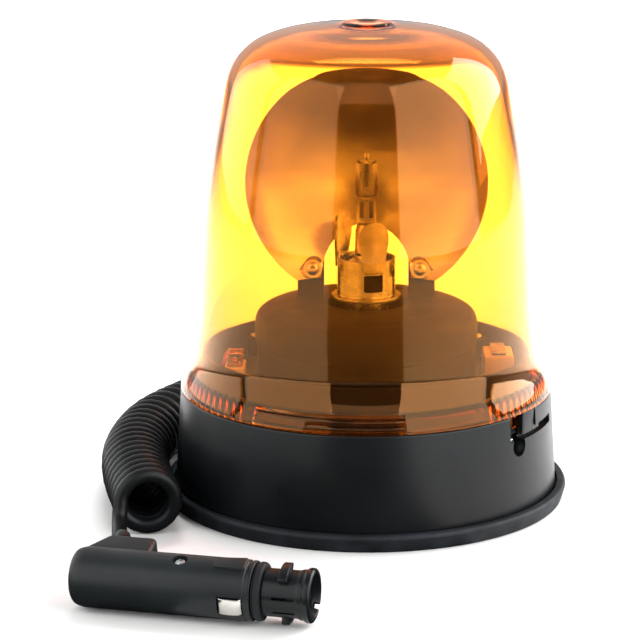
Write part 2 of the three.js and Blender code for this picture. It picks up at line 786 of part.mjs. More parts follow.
function bulbHolder() {
  const neck = spindleRadius - spindleWall - clearance;
  const inner = holderRadius - holderWall;
  const body = lathe([
    [neck - 1.3, holderFlangeBottom - 8], [neck, holderFlangeBottom - 8],
    [neck, holderFlangeBottom], [holderFlangeRadius, holderFlangeBottom],
    [holderFlangeRadius, holderFlangeTop], [holderRadius, holderFlangeTop],
    [holderRadius, holderTop], [inner, holderTop], [inner, holderFlangeTop],
    [neck - 1.3, holderFlangeTop],
  ], 20);
  const window = block([inner - 3, -4, 89.4], [holderRadius + 2, 4, 96.6]);
  return cut(body, window.rotate([0, 0, clipAngles.clip_front]));
}

function holderInsulator() {
  const outer = holderRadius - holderWall - clearance;
  return tube(3.4, outer, holderFlangeTop + clearance, insulatorTop, 24);
}

function bulbBase() {
  return lathe([
    [0, insulatorTop - 8], [3, insulatorTop - 8], [3, bulbFlangeBottom],
    [7.2, bulbFlangeBottom], [7.2, bulbFlangeBottom + 1], [4.6, bulbFlangeBottom + 1.4],
    [4.4, bulbBaseTop - 3], [3.6, bulbBaseTop], [0, bulbBaseTop],
  ], smallSegments);
}

function bulbGlass() {
  const tube_ = lathe([
    [0, bulbGlassBottom - 2], [1.6, bulbGlassBottom - 1.8], [3.6, bulbGlassBottom - 0.8],
    [bulbGlassRadius, bulbGlassBottom + 0.8], [bulbGlassRadius, bulbGlassTop - 1],
    [3.4, bulbGlassTop + 0.4], [1.2, bulbGlassTop + 1.2], [0.9, bulbGlassTop + 3.6],
    [0, bulbGlassTop + 4.4],
  ], 20);
  const pinch = block([-4, -1.3, bulbBaseTop + clearance], [4, 1.3, bulbGlassBottom - 0.9]);
  return join(tube_, pinch);
}

// a leaf with a rounded head, bent round the holder and standing on its rim
function bulbClip(angle) {
  const half = clipWidth / 2;
  const headStart = clipTop - half;
  const outline = [[-half * 0.62, clipFoot], [half * 0.62, clipFoot], [half, headStart - 3]];
  for (let i = 0; i <= 6; i += 1) {
    const turn = Math.PI * i / 6;
    outline.push([half * Math.cos(turn), headStart + half * Math.sin(turn)]);
  }
  outline.push([-half, headStart - 3]);
  const inner = holderRadius + clearance;
  const leaf = prism(outline, inner - 4, inner + 6).rotate([90, 0, 90]);
  const shell = tube(inner, inner + clipThickness, clipFoot - 1, clipTop + 1, 40);
  return leaf.intersect(shell).rotate([0, 0, angle]);
}

function buildBulb() {
  piece('bulb_holder', bulbHolder(), 'steel');
  piece('holder_insulator', holderInsulator(), 'nylon');
  piece('bulb_base', bulbBase(), 'steel');
  piece('bulb_glass', bulbGlass(), 'glass');
  for (const [name, angle] of Object.entries(clipAngles)) {
    piece(name, bulbClip(angle), 'steel');
  }
}

// ---- dome lens ----
function domeLens() {
  const seat = seamHeight + clearance;
  const bossTopInner = domeHeight - topBossRise - domeWall;
  // the skirt is fixed to the housing rim, and the dome stands on it
  const side = [
    [69.4, 80], [67.4, 120], [64.6, 140], [60.4, 163], [57.6, 176], [53.6, 184.4],
    [44.6, 192], [20.7, 197],
  ].map(([radius, height]) => [radius, height + domeHeight - 199.2]);
  const outer = [
    [housingTopRadius, seat], [housingTopRadius - 0.5, seat + 2.4],
    [housingTopRadius - 2.5, seat + 6.4], [housingTopRadius - 4.7, seat + 10.4],
    [housingTopRadius - 6, seat + 14.4], ...side,
    [topBossRadius + 0.6, domeHeight - topBossRise], [topBossRadius, domeHeight],
    [0, domeHeight],
  ];
  const inward = side.map(([radius, height], i) => {
    const [r0, z0] = side[Math.max(0, i - 1)];
    const [r1, z1] = side[Math.min(side.length - 1, i + 1)];
    const length = Math.hypot(r1 - r0, z1 - z0);
    return [radius - domeWall * (z1 - z0) / length, height - domeWall * (r0 - r1) / length];
  });
  const spigotInner = spigotRadius - spigotWall;
  const inner = [
    [0, bossTopInner], ...inward.reverse(),
    [trayRadius + 1.3, seat + 15], [trayRadius + 1.8, seat + 12], [spigotInner, seat + 7],
    [spigotInner, seamHeight - spigotDepth], [spigotRadius, seamHeight - spigotDepth],
    [spigotRadius, seat],
  ];
  return join(lathe([[0, domeHeight], ...outer.slice(0, -1).reverse(), ...inner.reverse()]),
    bayonetTab(0), bayonetTab(180));
}

function bayonetTab(turn) {
  const inner = spigotRadius - 0.4;
  const outer = housingTopRadius - 0.2;
  const bottom = seamHeight - tabDepth;
  const stem = sector(inner, outer, bottom, seamHeight + 1,
    fromFront(tabStart), fromFront(tabEnd));
  const foot = sector(inner, outer, bottom, bottom + tabFootThickness,
    fromFront(tabEnd - 1), fromFront(tabFootEnd));
  return join(stem, foot).rotate([0, 0, turn]);
}

// ---- cord ----
function cordGland() {
  const wallOuter = housingRadiusAt(glandHeight);
  const wallInner = wallOuter - housingWall;
  const body = lathe([
    [0, wallInner - 3.2], [5.8, wallInner - 3.2], [5.8, wallInner - 1.2],
    [4.9, wallInner - 1.2], [4.9, wallOuter + 0.8], [7.2, wallOuter + 0.8],
    [6.8, wallOuter + 4], [4.3, wallOuter + glandLength], [0, wallOuter + glandLength],
  ], smallSegments);
  return alongX(body, glandAngle).translate([0, 0, glandHeight]);
}

function buildCord() {
  const flat = coilRoute.map(([x, y]) => [x, y, coilRadius + 0.1]);
  piece('cord_gland', cordGland(), 'rubber');
  piece('cord_lead', sweep(leadRoute, cableRadius, 10, 8), 'cable');
  piece('curly_cord', sweep(flat, coilRadius, 26, 10), 'cable');
  piece('cord_tail', sweep(tailRoute, cableRadius, 12, 8), 'cable');
}

// ---- lighter plug, built along X and then laid down ----
const shellSplit = 0.2;
const bodyInner = plugRadius - plugWall;

function plugOutside() {
  const barrel = alongX(lathe([
    [0, 0], [plugRadius - 3.4, 0], [plugRadius - 1, 1.4], [plugRadius, 4.6],
    [plugRadius, plugBodyLength], [0, plugBodyLength],
  ], 28));
  const half = kneeHeight / 2;
  const knee = prism([
    [kneeStart, 0], [kneeStart + kneeWidth, 0], [kneeStart + kneeWidth, kneeReach],
    [kneeStart + kneeCornerAlong, kneeReach], [kneeStart, kneeReach - kneeCornerBack],
  ], -half, half);
  return join(barrel, knee);
}

function plugInside() {
  const bore = alongX(rod(bodyInner, 5, plugBodyLength - 2.2, 24));
  const mouth = alongX(rod(noseRadius + clearance, plugBodyLength - 4, plugBodyLength + 1, 20));
  const half = kneeHeight / 2 - plugWall;
  const kneeBore = block([kneeStart + kneeCornerAlong - 2, 0, -half],
    [kneeStart + kneeWidth - plugWall, kneeReach - plugWall - 1, half]);
  const screwHole = rod(1.7, -plugRadius + 4, plugRadius + 1, 12).translate([shellScrewPlace, 0, 0]);
  const windows = [-1, 1].map((side) => block(
    [contactPlace - contactLength / 2 - 0.4, side > 0 ? 5 : -plugRadius - 1, -contactWidth / 2 - 0.4],
    [contactPlace + contactLength / 2 + 0.4, side > 0 ? plugRadius + 1 : -5, contactWidth / 2 + 0.4]));
  return join(bore, mouth, kneeBore, screwHole, ...windows);
}

// the bar that the shell screw pulls the two halves together with
function screwColumn() {
  const column = rod(3.2, -plugRadius + 1, plugRadius - 1, 16).translate([shellScrewPlace, 0, 0]);
  return cut(column, rod(1.7, -plugRadius + 4, plugRadius, 12).translate([shellScrewPlace, 0, 0]));
}

function plugShell(side) {
  const shell = join(cut(plugOutside(), plugInside()), screwColumn());
  const wedge = block([wedgeStart, -wedgeHalfWidth, plugRadius - 1.9],
    [wedgeStart + wedgeLength, wedgeHalfWidth, plugRadius + 0.9]);
  const counterbore = rod(2.9, plugRadius - 2.6, plugRadius + 1, 16)
    .translate([shellScrewPlace, 0, 0]);
  const keep = side > 0
    ? block([-1, -20, shellSplit], [90, 40, 20])
    : block([-1, -20, -20], [90, 40, -shellSplit]);
  const whole = side > 0 ? cut(join(shell, wedge), counterbore) : shell;
  return whole.intersect(keep);
}

function plugScrew() {
  const seat = plugRadius - 2.6 + clearance;
  const head = cut(rod(2.5, seat, seat + 1.5, 16),
    block([-3, -0.35, seat + 0.8], [3, 0.35, seat + 3]));
  return join(head, rod(1.3, -plugRadius + 5, seat + 0.5, 12)).translate([shellScrewPlace, 0, 0]);
}

// a bowed leaf behind each window, with its crown proud of the barrel
function sideContact(side) {
  const crown = plugRadius + contactProud;
  const half = contactLength / 2;
  const outline = [
    [-half, crown - 1.2], [-half + 1.4, crown - 0.2], [0, crown], [half - 1.4, crown - 0.2],
    [half, crown - 1.2], [half, crown - 3.2], [half - 0.9, crown - 3.2],
    [half - 1.2, crown - 1.6], [0, crown - 1], [-half + 1.2, crown - 1.6],
    [-half + 0.9, crown - 3.2], [-half, crown - 3.2],
  ];
  return prism(outline, -contactWidth / 2, contactWidth / 2)
    .translate([contactPlace, 0, 0]).rotate([side > 0 ? 0 : 180, 0, 0]);
}

const noseStart = plugBodyLength - 6.4;
const noseEnd = noseStart + noseLength;
const pinTip = noseEnd + 5;

function plugNose() {
  const outside = lathe([
    [0, noseStart], [noseFlange, noseStart], [noseFlange, noseStart + 3.8],
    [noseRadius, noseStart + 3.8], [noseRadius, noseEnd - 1], [noseRadius - 1, noseEnd],
    [0, noseEnd],
  ], 20);
  const bore = join(rod(pinRadius + clearance, noseEnd - 3, noseEnd + 1, 16),
    rod(3.6, noseStart + 2, noseEnd - 2.4, 16));
  return alongX(cut(outside, bore));
}

const pinFlangePlace = noseEnd - 4.4;

function centrePin() {
  return alongX(lathe([
    [0, pinFlangePlace], [3.2, pinFlangePlace], [3.2, pinFlangePlace + 1.6],
    [pinRadius, pinFlangePlace + 1.6], [pinRadius, pinTip - 1.2], [0.9, pinTip], [0, pinTip],
  ], 16));
}

function pinSpring() {
  const turns = 3;
  const start = noseStart + 2.7;
  const length = 9.8;
  const points = Array.from({ length: turns * 8 + 1 }, (_, i) => {
    const [y, z] = polar(2.6, 45 * i);
    return [start + length * i / (turns * 8), y, z];
  });
  return sweep(points, 0.4, turns * 8, 5);
}

const collarStart = plugBodyLength + endRingLength + 2 * clearance;

function adapterCollar() {
  const end = collarStart + collarLength;
  const inner = collarRadius - collarWall;
  let body = lathe([
    [inner, collarStart], [collarRadius, collarStart], [collarRadius, end - 6],
    [collarRadius + 0.5, end - 4.6], [collarRadius + 0.5, end - 3.4], [collarRimRadius, end - 2.4],
    [collarRimRadius, end - 0.6], [collarRimRadius - 0.7, end], [collarRimRadius - 2, end],
    [inner, end - 3],
  ], 20);
  for (const side of [-1, 1]) {
    const lug = sector(collarRadius - 0.8, lugRadius, collarStart + lugPlace,
      collarStart + lugPlace + 3.2, side * 90 - 32, side * 90 + 32);
    body = join(body, lug);
    for (const turn of [-20, 20]) {
      const slit = sector(inner - 1, lugRadius + 1, collarStart + lugPlace - 2.4,
        collarStart + lugPlace + 6, (side > 0 ? 0 : 180) + turn - 3.4, (side > 0 ? 0 : 180) + turn + 3.4);
      body = cut(body, slit);
    }
    const notch = sector(collarRimRadius - 3.2, collarRimRadius + 1, end - 2.2, end + 1,
      side * 62 - 9, side * 62 + 9);
    body = cut(body, notch);
  }
  return alongX(body.rotate([0, 0, 90]));
}

function buildPlug() {
  const plug = new THREE.Group();
  plug.position.set(...plugPosition);
  plug.rotation.set(radians(plugRoll), 0, radians(plugTurn), 'ZXY');
  object.add(plug);
  piece('plug_shell_top', plugShell(1), 'plug', plug);
  piece('plug_shell_bottom', plugShell(-1), 'plug', plug);
  piece('plug_screw', plugScrew(), 'steel', plug);
  piece('side_contact_rear', sideContact(1), 'steel', plug);
  piece('side_contact_front', sideContact(-1), 'steel', plug);
  piece('plug_nose', plugNose(), 'plug', plug);
  piece('centre_pin', centrePin(), 'steel', plug);
  piece('pin_spring', pinSpring(), 'steel', plug);
  const ringStart = plugBodyLength + clearance;
  piece('plug_end_ring', alongX(lathe([
    [noseRadius + clearance, ringStart], [plugRadius - 1.2, ringStart],
    [plugRadius - 1.2, ringStart + 0.8], [plugRadius - 0.4, ringStart + 1.2],
    [plugRadius - 0.8, ringStart + endRingLength], [noseRadius + clearance,
      ringStart + endRingLength],
  ], 20)), 'rubber', plug);
  piece('adapter_collar', adapterCollar(), 'plug', plug);
}

buildBase();
buildTray();
buildSpindle();
buildRotor();
buildMotor();
buildBulb();
piece('dome_lens', domeLens(), 'amber');
buildCord();
buildPlug();

export default object;
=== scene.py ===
"""Looks of a rotating amber beacon with a magnetic base, a curly cord and a lighter plug.

Shapes are worked out in millimetres and scaled by MM when their meshes are made. The origin
is at the middle of the beacon's underside, +Z is up, and the beacon's front is towards -Y.
"""
import math

import bmesh
import bpy
from mathutils import Matrix, Vector


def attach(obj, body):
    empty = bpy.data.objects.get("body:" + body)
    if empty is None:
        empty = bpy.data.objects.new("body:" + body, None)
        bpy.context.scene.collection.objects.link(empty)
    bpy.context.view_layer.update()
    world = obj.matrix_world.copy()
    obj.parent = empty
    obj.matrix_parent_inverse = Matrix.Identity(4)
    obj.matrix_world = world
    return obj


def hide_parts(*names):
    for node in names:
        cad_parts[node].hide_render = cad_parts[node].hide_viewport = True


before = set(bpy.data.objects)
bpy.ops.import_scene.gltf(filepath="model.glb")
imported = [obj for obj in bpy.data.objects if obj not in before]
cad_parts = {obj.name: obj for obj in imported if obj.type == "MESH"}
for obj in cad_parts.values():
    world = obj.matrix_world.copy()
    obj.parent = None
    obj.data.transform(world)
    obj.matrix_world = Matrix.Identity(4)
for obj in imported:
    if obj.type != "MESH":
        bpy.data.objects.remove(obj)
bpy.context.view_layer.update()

MM = 0.001

# ---- sizes shared with the solids, in millimetres ----
LIP_RADIUS = 84.0
HOUSING_FOOT_RADIUS = 79.7
HOUSING_TOP_RADIUS = 77.1
HOUSING_WALL = 2.6
GROOVE_FLOOR = 4.0
SEAM = 46.5
GAP = 0.3
TRAY_RADIUS = 67.6
TRAY_FLOOR = 50.0
TRAY_RIM = 63.3
SCREW_CIRCLE = 59.0
SCREW_ANGLES = (37, 143, 217, 323)
DISH_RADIUS = 49.3
DISH_CENTRE = 134.0
DISH_FOCUS = 21.5
DISH_CUT = 93.5
ARCH_RADIUS = 18.5
ARCH_CENTRE = 94.0
RIVET_OFFSET = 22.0
RIVET_HEIGHT = 97.6
LOCK_ANGLE = 53.2 - 90
LOCK_HEIGHT = 33.8
LOCK_DEPTH = 5.2
CLIP_ANGLES = {"front": -75, "rear": 148}
CABLE_RADIUS = 3.1
COIL_RADIUS = 14.3
GLAND_ANGLE = 85
GLAND_HEIGHT = 25.0
PLUG_PLACE = (-109.2, -146.6, 12.2)
PLUG_TURN = -13.4
PLUG_ROLL = 16
PLUG_RADIUS = 11.5
PLUG_LENGTH = 71.0


# ---- shapes ----
def solid(vertices, faces):
    """A closed mesh from points in millimetres, its faces turned outwards."""
    mesh = bpy.data.meshes.new("working")
    mesh.from_pydata([Vector(v) * MM for v in vertices], [], faces)
    net = bmesh.new()
    net.from_mesh(mesh)
    bmesh.ops.remove_doubles(net, verts=net.verts, dist=1e-7)
    bmesh.ops.recalc_face_normals(net, faces=net.faces)
    net.to_mesh(mesh)
    net.free()
    work = bpy.data.objects.new("working", mesh)
    bpy.context.scene.collection.objects.link(work)
    return work


def turned(profile, steps=128, shift=None):
    """Turns (radius, height) points round the upright axis; shift adds to a point's radius."""
    vertices, rings = [], []
    for row, (radius, height) in enumerate(eased(profile)):
        start = len(vertices)
        if radius < 1e-6:
            vertices.append((0, 0, height))
            rings.append([start] * steps)
            continue
        for i in range(steps):
            angle = math.tau * i / steps
            reach = radius + (shift(row, angle, height) if shift else 0)
            vertices.append((reach * math.cos(angle), reach * math.sin(angle), height))
        rings.append(list(range(start, start + steps)))
    pairs = list(zip(rings, rings[1:]))
    if profile[0][0] > 1e-6:
        pairs.append((rings[-1], rings[0]))
    faces = []
    for low, high in pairs:
        for i in range(steps):
            j = (i + 1) % steps
            faces.append(tuple(dict.fromkeys((low[i], low[j], high[j], high[i]))))
    return solid(vertices, faces)


def eased(points):
    """Rounds each corner that has a third value, which is how far the round reaches."""
    result = []
    for i, point in enumerate(points):
        if len(point) < 3:
            result.append(tuple(point))
            continue
        here = Vector(point[:2])
        back = Vector(points[i - 1][:2]) - here
        on = Vector(points[(i + 1) % len(points)][:2]) - here
        reach = min(point[2], back.length * 0.45, on.length * 0.45)
        start, stop = here + back.normalized() * reach, here + on.normalized() * reach
        for k in range(5):
            t = k / 4
            place = start * (1 - t) ** 2 + here * (2 * t * (1 - t)) + stop * t * t
            result.append(tuple(place))
    return result


def through(points, steps):
    """A smooth line through points, with a number of steps between each two."""
    places = [Vector(p) for p in points]
    places = [places[0] * 2 - places[1], *places, places[-1] * 2 - places[-2]]
    line = []
    for a, b, c, d in zip(places, places[1:], places[2:], places[3:]):
        for k in range(steps):
            t = k / steps
            line.append(0.5 * (2 * b + (c - a) * t + (2 * a - 5 * b + 4 * c - d) * t ** 2
                               + (3 * b - a - 3 * c + d) * t ** 3))
    return [*line, places[-2]]


def evenly(line, spacing):
    """The same line with its points one spacing apart along it."""
    result, carried = [line[0]], 0.0
    for a, b in zip(line, line[1:]):
        length = (b - a).length
        while carried + length >= spacing:
            a = a.lerp(b, (spacing - carried) / length)
            result.append(a)
            length, carried = (b - a).length, 0.0
        carried += length
    if carried > spacing * 0.3:
        result.append(line[-1])
    return result


def prism(outline, low, high):
    count = len(outline)
    vertices = [(x, y, z) for z in (low, high) for x, y in outline]
    sides = [(i, (i + 1) % count, count + (i + 1) % count, count + i) for i in range(count)]
    return solid(vertices, [tuple(range(count)), tuple(range(count, 2 * count)), *sides])


def block(low, high):
    return prism([(low[0], low[1]), (high[0], low[1]), (high[0], high[1]), (low[0], high[1])],
                 low[2], high[2])


def rod(radius, low, high, steps=48):
    return turned([(0, low), (radius, low), (radius, high), (0, high)], steps)


def ring(inner, outer, low, high, ease=0.3, steps=96):
    return turned([(inner, low, ease), (outer, low, ease), (outer, high, ease),
                   (inner, high, ease)], steps)


def polar(radius, degrees):
    return radius * math.cos(math.radians(degrees)), radius * math.sin(math.radians(degrees))


def sector(inner, outer, low, high, start, end):
    steps = max(3, math.ceil((end - start) / 1.5))
    angles = [start + (end - start) * i / steps for i in range(steps + 1)]
    outline = [polar(outer, a) for a in angles] + [polar(inner, a) for a in reversed(angles)]
    return prism(outline, low, high)


def moved(work, x=0.0, y=0.0, z=0.0):
    work.data.transform(Matrix.Translation(Vector((x, y, z)) * MM))
    return work


def spun(work, degrees, axis="Z"):
    work.data.transform(Matrix.Rotation(math.radians(degrees), 4, axis))
    return work


def crossways(work):
    """Turns a prism drawn as (y, z) points so that it runs along X."""
    work.data.transform(Matrix(((0, 0, 1, 0), (1, 0, 0, 0), (0, 1, 0, 0), (0, 0, 0, 1))))
    return work


def applied(work):
    mesh = bpy.data.meshes.new_from_object(
        work.evaluated_get(bpy.context.evaluated_depsgraph_get()))
    work.modifiers.clear()
    work.data = mesh
    return work


def combined(work, others, how):
    for other in others:
        step = work.modifiers.new(how, "BOOLEAN")
        step.operation, step.object, step.solver = how, other, "EXACT"
    applied(work)
    for other in others:
        bpy.data.objects.remove(other)
    return work


def cut(work, *tools):
    return combined(work, tools, "DIFFERENCE")


def fused(work, *others):
    return combined(work, others, "UNION")


def softened(work, width, segments=3, angle=30):
    step = work.modifiers.new("edges", "BEVEL")
    step.width, step.segments = width * MM, segments
    step.limit_method, step.angle_limit = "ANGLE", math.radians(angle)
    return applied(work)


def wire(points, radius, sides=5):
    """A round wire along points in millimetres, as one open curve."""
    curve = bpy.data.curves.new("working", "CURVE")
    curve.dimensions = "3D"
    curve.bevel_depth, curve.bevel_resolution = radius * MM, sides
    curve.use_fill_caps = True
    line = curve.splines.new("POLY")
    line.points.add(len(points) - 1)
    for point, place in zip(line.points, points):
        point.co = (*(Vector(place) * MM), 1)
    line.use_smooth = True
    work = bpy.data.objects.new("working", curve)
    bpy.context.scene.collection.objects.link(work)
    return work


def piece(name, work, material, body, slot, *nodes, sharp=32):
    """Names a finished shape, gives it its material and hides the solids it stands for."""
    work.name = work.data.name = name
    work.data.materials.clear()
    work.data.materials.append(material)
    if work.type == "MESH":
        work.data.shade_smooth()
        work.data.set_sharp_from_angle(angle=math.radians(sharp))
    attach(work, body)
    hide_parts(*nodes)
    return work


# ---- materials ----
def linear(code):
    """An sRGB hex colour as the linear colour that a shader takes."""
    parts = [int(code[i:i + 2], 16) / 255 for i in (1, 3, 5)]
    return [*(c / 12.92 if c <= 0.04045 else ((c + 0.055) / 1.055) ** 2.4 for c in parts), 1]


def per(size):
    """The texture scale whose features are about this many millimetres across."""
    return 1 / (size * MM)


def add(material, kind, settings=None, links=None):
    """Adds one shader node, with its settings by name or socket number, and its links."""
    node = material.node_tree.nodes.new("ShaderNode" + kind)
    for key, value in (settings or {}).items():
        if isinstance(key, int) or key in node.inputs:
            node.inputs[key].default_value = value
        else:
            setattr(node, key, value)
    for key, source in (links or {}).items():
        material.node_tree.links.new(source, node.inputs[key])
    return node


def blank(name):
    material = bpy.data.materials.new(name)
    material.use_nodes = True
    material.node_tree.nodes.clear()
    return material


def finished(name, tones, patch, rough, grain, depth, stretch=(1, 1, 1), **shader):
    """A surface whose tone and gloss drift over patches, with a fine grain in its bump.

    patch and grain are sizes in millimetres, depth is the grain's height in millimetres, and
    stretch squeezes the grain into lines. shader holds the plain values of the shader.
    """
    material = blank(name)
    place = add(material, "TexCoord").outputs["Object"]
    drift = add(material, "TexNoise", {"Scale": per(patch), "Detail": 4.0},
                {"Vector": place}).outputs[0]
    share = add(material, "MapRange", {"From Min": 0.35, "From Max": 0.65},
                {"Value": drift}).outputs[0]
    tone = add(material, "Mix", {"data_type": "RGBA", 6: linear(tones[0]),
                                           7: linear(tones[1])}, {0: share}).outputs[2]
    lines = add(material, "Mapping", {"Scale": stretch}, {"Vector": place}).outputs[0]
    fine = add(material, "TexNoise", {"Scale": per(grain), "Detail": 2.0},
               {"Vector": lines}).outputs[0]
    gloss = add(material, "TexNoise", {"Scale": per(patch * 0.6), "Detail": 5.0},
                {"Vector": lines}).outputs[0]
    roughness = add(material, "MapRange",
                    {"From Min": 0.3, "From Max": 0.7, "To Min": rough[0], "To Max": rough[1]},
                    {"Value": gloss}).outputs[0]
    bump = add(material, "Bump", {"Strength": 1.0, "Distance": depth * MM},
               {"Height": fine}).outputs[0]
    values = {key.replace("_", " ").title().replace("Ior", "IOR"): value
              for key, value in shader.items()}
    skin = add(material, "BsdfPrincipled", values,
               {"Base Color": tone, "Roughness": roughness, "Normal": bump})
    add(material, "OutputMaterial", links={"Surface": skin.outputs[0]})
    return material


# ABS from a spark-eroded mould: black, satin, with a faint grain that softens highlights
housing_abs = finished("Black_moulded_ABS", ("#0B0D0F", "#101315"), 38, (0.27, 0.36), 0.7,
                       0.012, ior=1.54, specular_ior_level=0.25)
# EPDM rubber, compression moulded: duller than the housing, with a slight grey bloom
foot_epdm = finished("Moulded_EPDM_rubber", ("#141618", "#20242A"), 14, (0.5, 0.66), 0.9,
                     0.03, ior=1.5, specular_ior_level=0.25)
# glass-filled nylon, moulded: deep black with a waxy, mottled gloss
chassis_nylon = finished("Black_moulded_nylon", ("#0B0A0A", "#131212"), 16, (0.42, 0.55), 0.8,
                         0.016, ior=1.53, specular_ior_level=0.14)
# natural nylon, moulded: milky cream that lets a little light into its edges
natural_nylon = finished("Natural_moulded_nylon", ("#E2DAC4", "#EFE9DA"), 9, (0.38, 0.5), 0.6,
                         0.012, ior=1.53, subsurface_weight=0.15, subsurface_scale=0.0008)
# polyester capacitor case, cast: pale pink-cream, smooth and slightly uneven
capacitor_case = finished("Cast_capacitor_case", ("#E6CDB8", "#F2E2D2"), 7, (0.3, 0.42), 1.6,
                          0.03, ior=1.56)
# zinc-plated steel, bright passivated: grey-white with a fine rolled grain
zinc_steel = finished("Zinc_plated_steel", ("#BCC0C4", "#D2D5D8"), 5, (0.2, 0.3), 0.5, 0.0012,
                      metallic=1.0)
# drawn deep steel can and cup, nickel plated: smoother and a touch warmer
nickel_steel = finished("Nickel_plated_steel", ("#CFCCC4", "#E4E2DC"), 6, (0.12, 0.22), 0.7,
                        0.0015, metallic=1.0)
# spring steel strip, bright rolled: its fine lines run along the leaf
spring_steel = finished("Bright_spring_steel", ("#B9B5AC", "#D0CCC2"), 6, (0.18, 0.3), 0.35,
                        0.0015, (1, 1, 0.12), metallic=1.0)
# sintered ferrite, ground: charcoal, matt, with open pits
ferrite = finished("Sintered_ferrite", ("#262628", "#343437"), 3, (0.62, 0.8), 0.5, 0.05,
                   ior=2.2)
# sintered bronze, oil filled: brown-gold, half matt from its pores
sintered_bronze = finished("Sintered_bronze", ("#8A6238", "#A97A48"), 2, (0.35, 0.5), 0.35,
                           0.02, metallic=1.0)
# brass strip, stamped: yellow, bright, with faint drawn lines
stamped_brass = finished("Stamped_brass", ("#CFA64A", "#E2BE66"), 5, (0.18, 0.3), 0.35, 0.0012,
                         metallic=1.0)
# PVC sleeve, heat shrunk: glossy red that thins to orange where it stretches
red_sleeve = finished("Heat_shrunk_red_PVC", ("#A81D12", "#CE3A1C"), 3, (0.28, 0.4), 1.4,
                      0.05, ior=1.54)
# polyurethane cable jacket, extruded: black-grey with a soft silky sheen
cable_pur = finished("Extruded_polyurethane_jacket", ("#0A0C0D", "#111517"), 24, (0.34, 0.46),
                     0.8, 0.014, ior=1.5, specular_ior_level=0.26)
# ABS, moulded with a matt mould: dark slate grey, greyer than the housing
plug_abs = finished("Slate_moulded_ABS", ("#15191B", "#1C2123"), 22, (0.36, 0.46), 0.6, 0.014,
                    ior=1.54, specular_ior_level=0.3)
# tungsten wire, drawn: dark grey metal
tungsten = finished("Drawn_tungsten", ("#6E6B68", "#8B8884"), 1, (0.3, 0.42), 0.2, 0.002,
                    metallic=1.0)
# moulded plastic, lacquered and vacuum metallised: a mirror that waves very slightly
metallised_dish = finished("Vacuum_metallised_dish", ("#E2DFDA", "#EFEDE9"), 30, (0.17, 0.24),
                           9.0, 0.012, metallic=1.0)


def clear_body(name, tint, ior, rough, sheen="#FFFFFF", absorbed=None, density=0.0):
    """A clear solid that bends what is seen through it and lets the lamps' light in."""
    material = blank(name)
    place = add(material, "TexCoord").outputs["Object"]
    swell = add(material, "TexNoise", {"Scale": per(26), "Detail": 1.0},
                {"Vector": place}).outputs[0]
    bump = add(material, "Bump", {"Strength": 1.0, "Distance": 0.02 * MM},
               {"Height": swell}).outputs[0]
    skin = add(material, "BsdfPrincipled",
               {"Base Color": linear(tint), "IOR": ior, "Roughness": rough,
                "Transmission Weight": 1.0, "Specular Tint": linear(sheen)}, {"Normal": bump})
    passed = [math.sqrt(c) for c in linear(tint)]
    open_way = add(material, "BsdfTransparent", {"Color": passed})
    path = add(material, "LightPath")
    inside = add(material, "Math", {"operation": "MAXIMUM"},
                 {0: path.outputs["Is Shadow Ray"], 1: path.outputs["Is Diffuse Ray"]})
    mix = add(material, "MixShader", links={
        0: inside.outputs[0], 1: skin.outputs[0], 2: open_way.outputs[0]})
    output = add(material, "OutputMaterial", links={"Surface": mix.outputs[0]})
    if absorbed:
        volume = add(material, "VolumeAbsorption",
                     {"Color": linear(absorbed), "Density": density})
        material.node_tree.links.new(volume.outputs[0], output.inputs["Volume"])
    return material


# polycarbonate, injection moulded and dyed through: yellow where light goes straight through
# its wall, deep orange where the eye looks along it
amber_polycarbonate = clear_body("Amber_polycarbonate", "#FFD582", 1.586, 0.012, "#FFCE96",
                                 "#FEC93A", 200.0)
# quartz glass, drawn: colourless with crisp edges
quartz_glass = clear_body("Drawn_quartz_glass", "#FBFDFF", 1.458, 0.0)


# ---- camera, light and floor ----
CAMERA_PLACE = (0.001646, -1.28744, 0.40668)
CAMERA_TURN = (75.515, 0, 0.925)
# each lamp's place, the point it faces, its size, its power and its spread
LAMPS = {
    "left_panel": ((-862, -648, 800), (0, 0, 800), (1270, 1550), 12, 180),
    "right_panel": ((862, -648, 800), (0, 0, 800), (1270, 1550), 20, 180),
    "left_rear_panel": ((-1300, 550, 700), (0, 0, 700), (1300, 1300), 10, 180),
    "right_rear_panel": ((1300, 550, 850), (0, 0, 400), (1300, 1300), 32, 180),
    "front_top_panel": ((0, -1020, 1080), (0, 0, 120), (1050, 800), 2.1, 180),
    "floor_panel": ((0, 1350, 1050), (0, 1350, 0), (600, 1900), 32, 80),
}
FELT = [(-330, 220), (40, -60), (105, -260), (560, -1250), (-560, -1250), (-150, -330),
        (-330, -330)]
FELT_OPENING = ((-72, -204, -1), (-20, -164, 1))


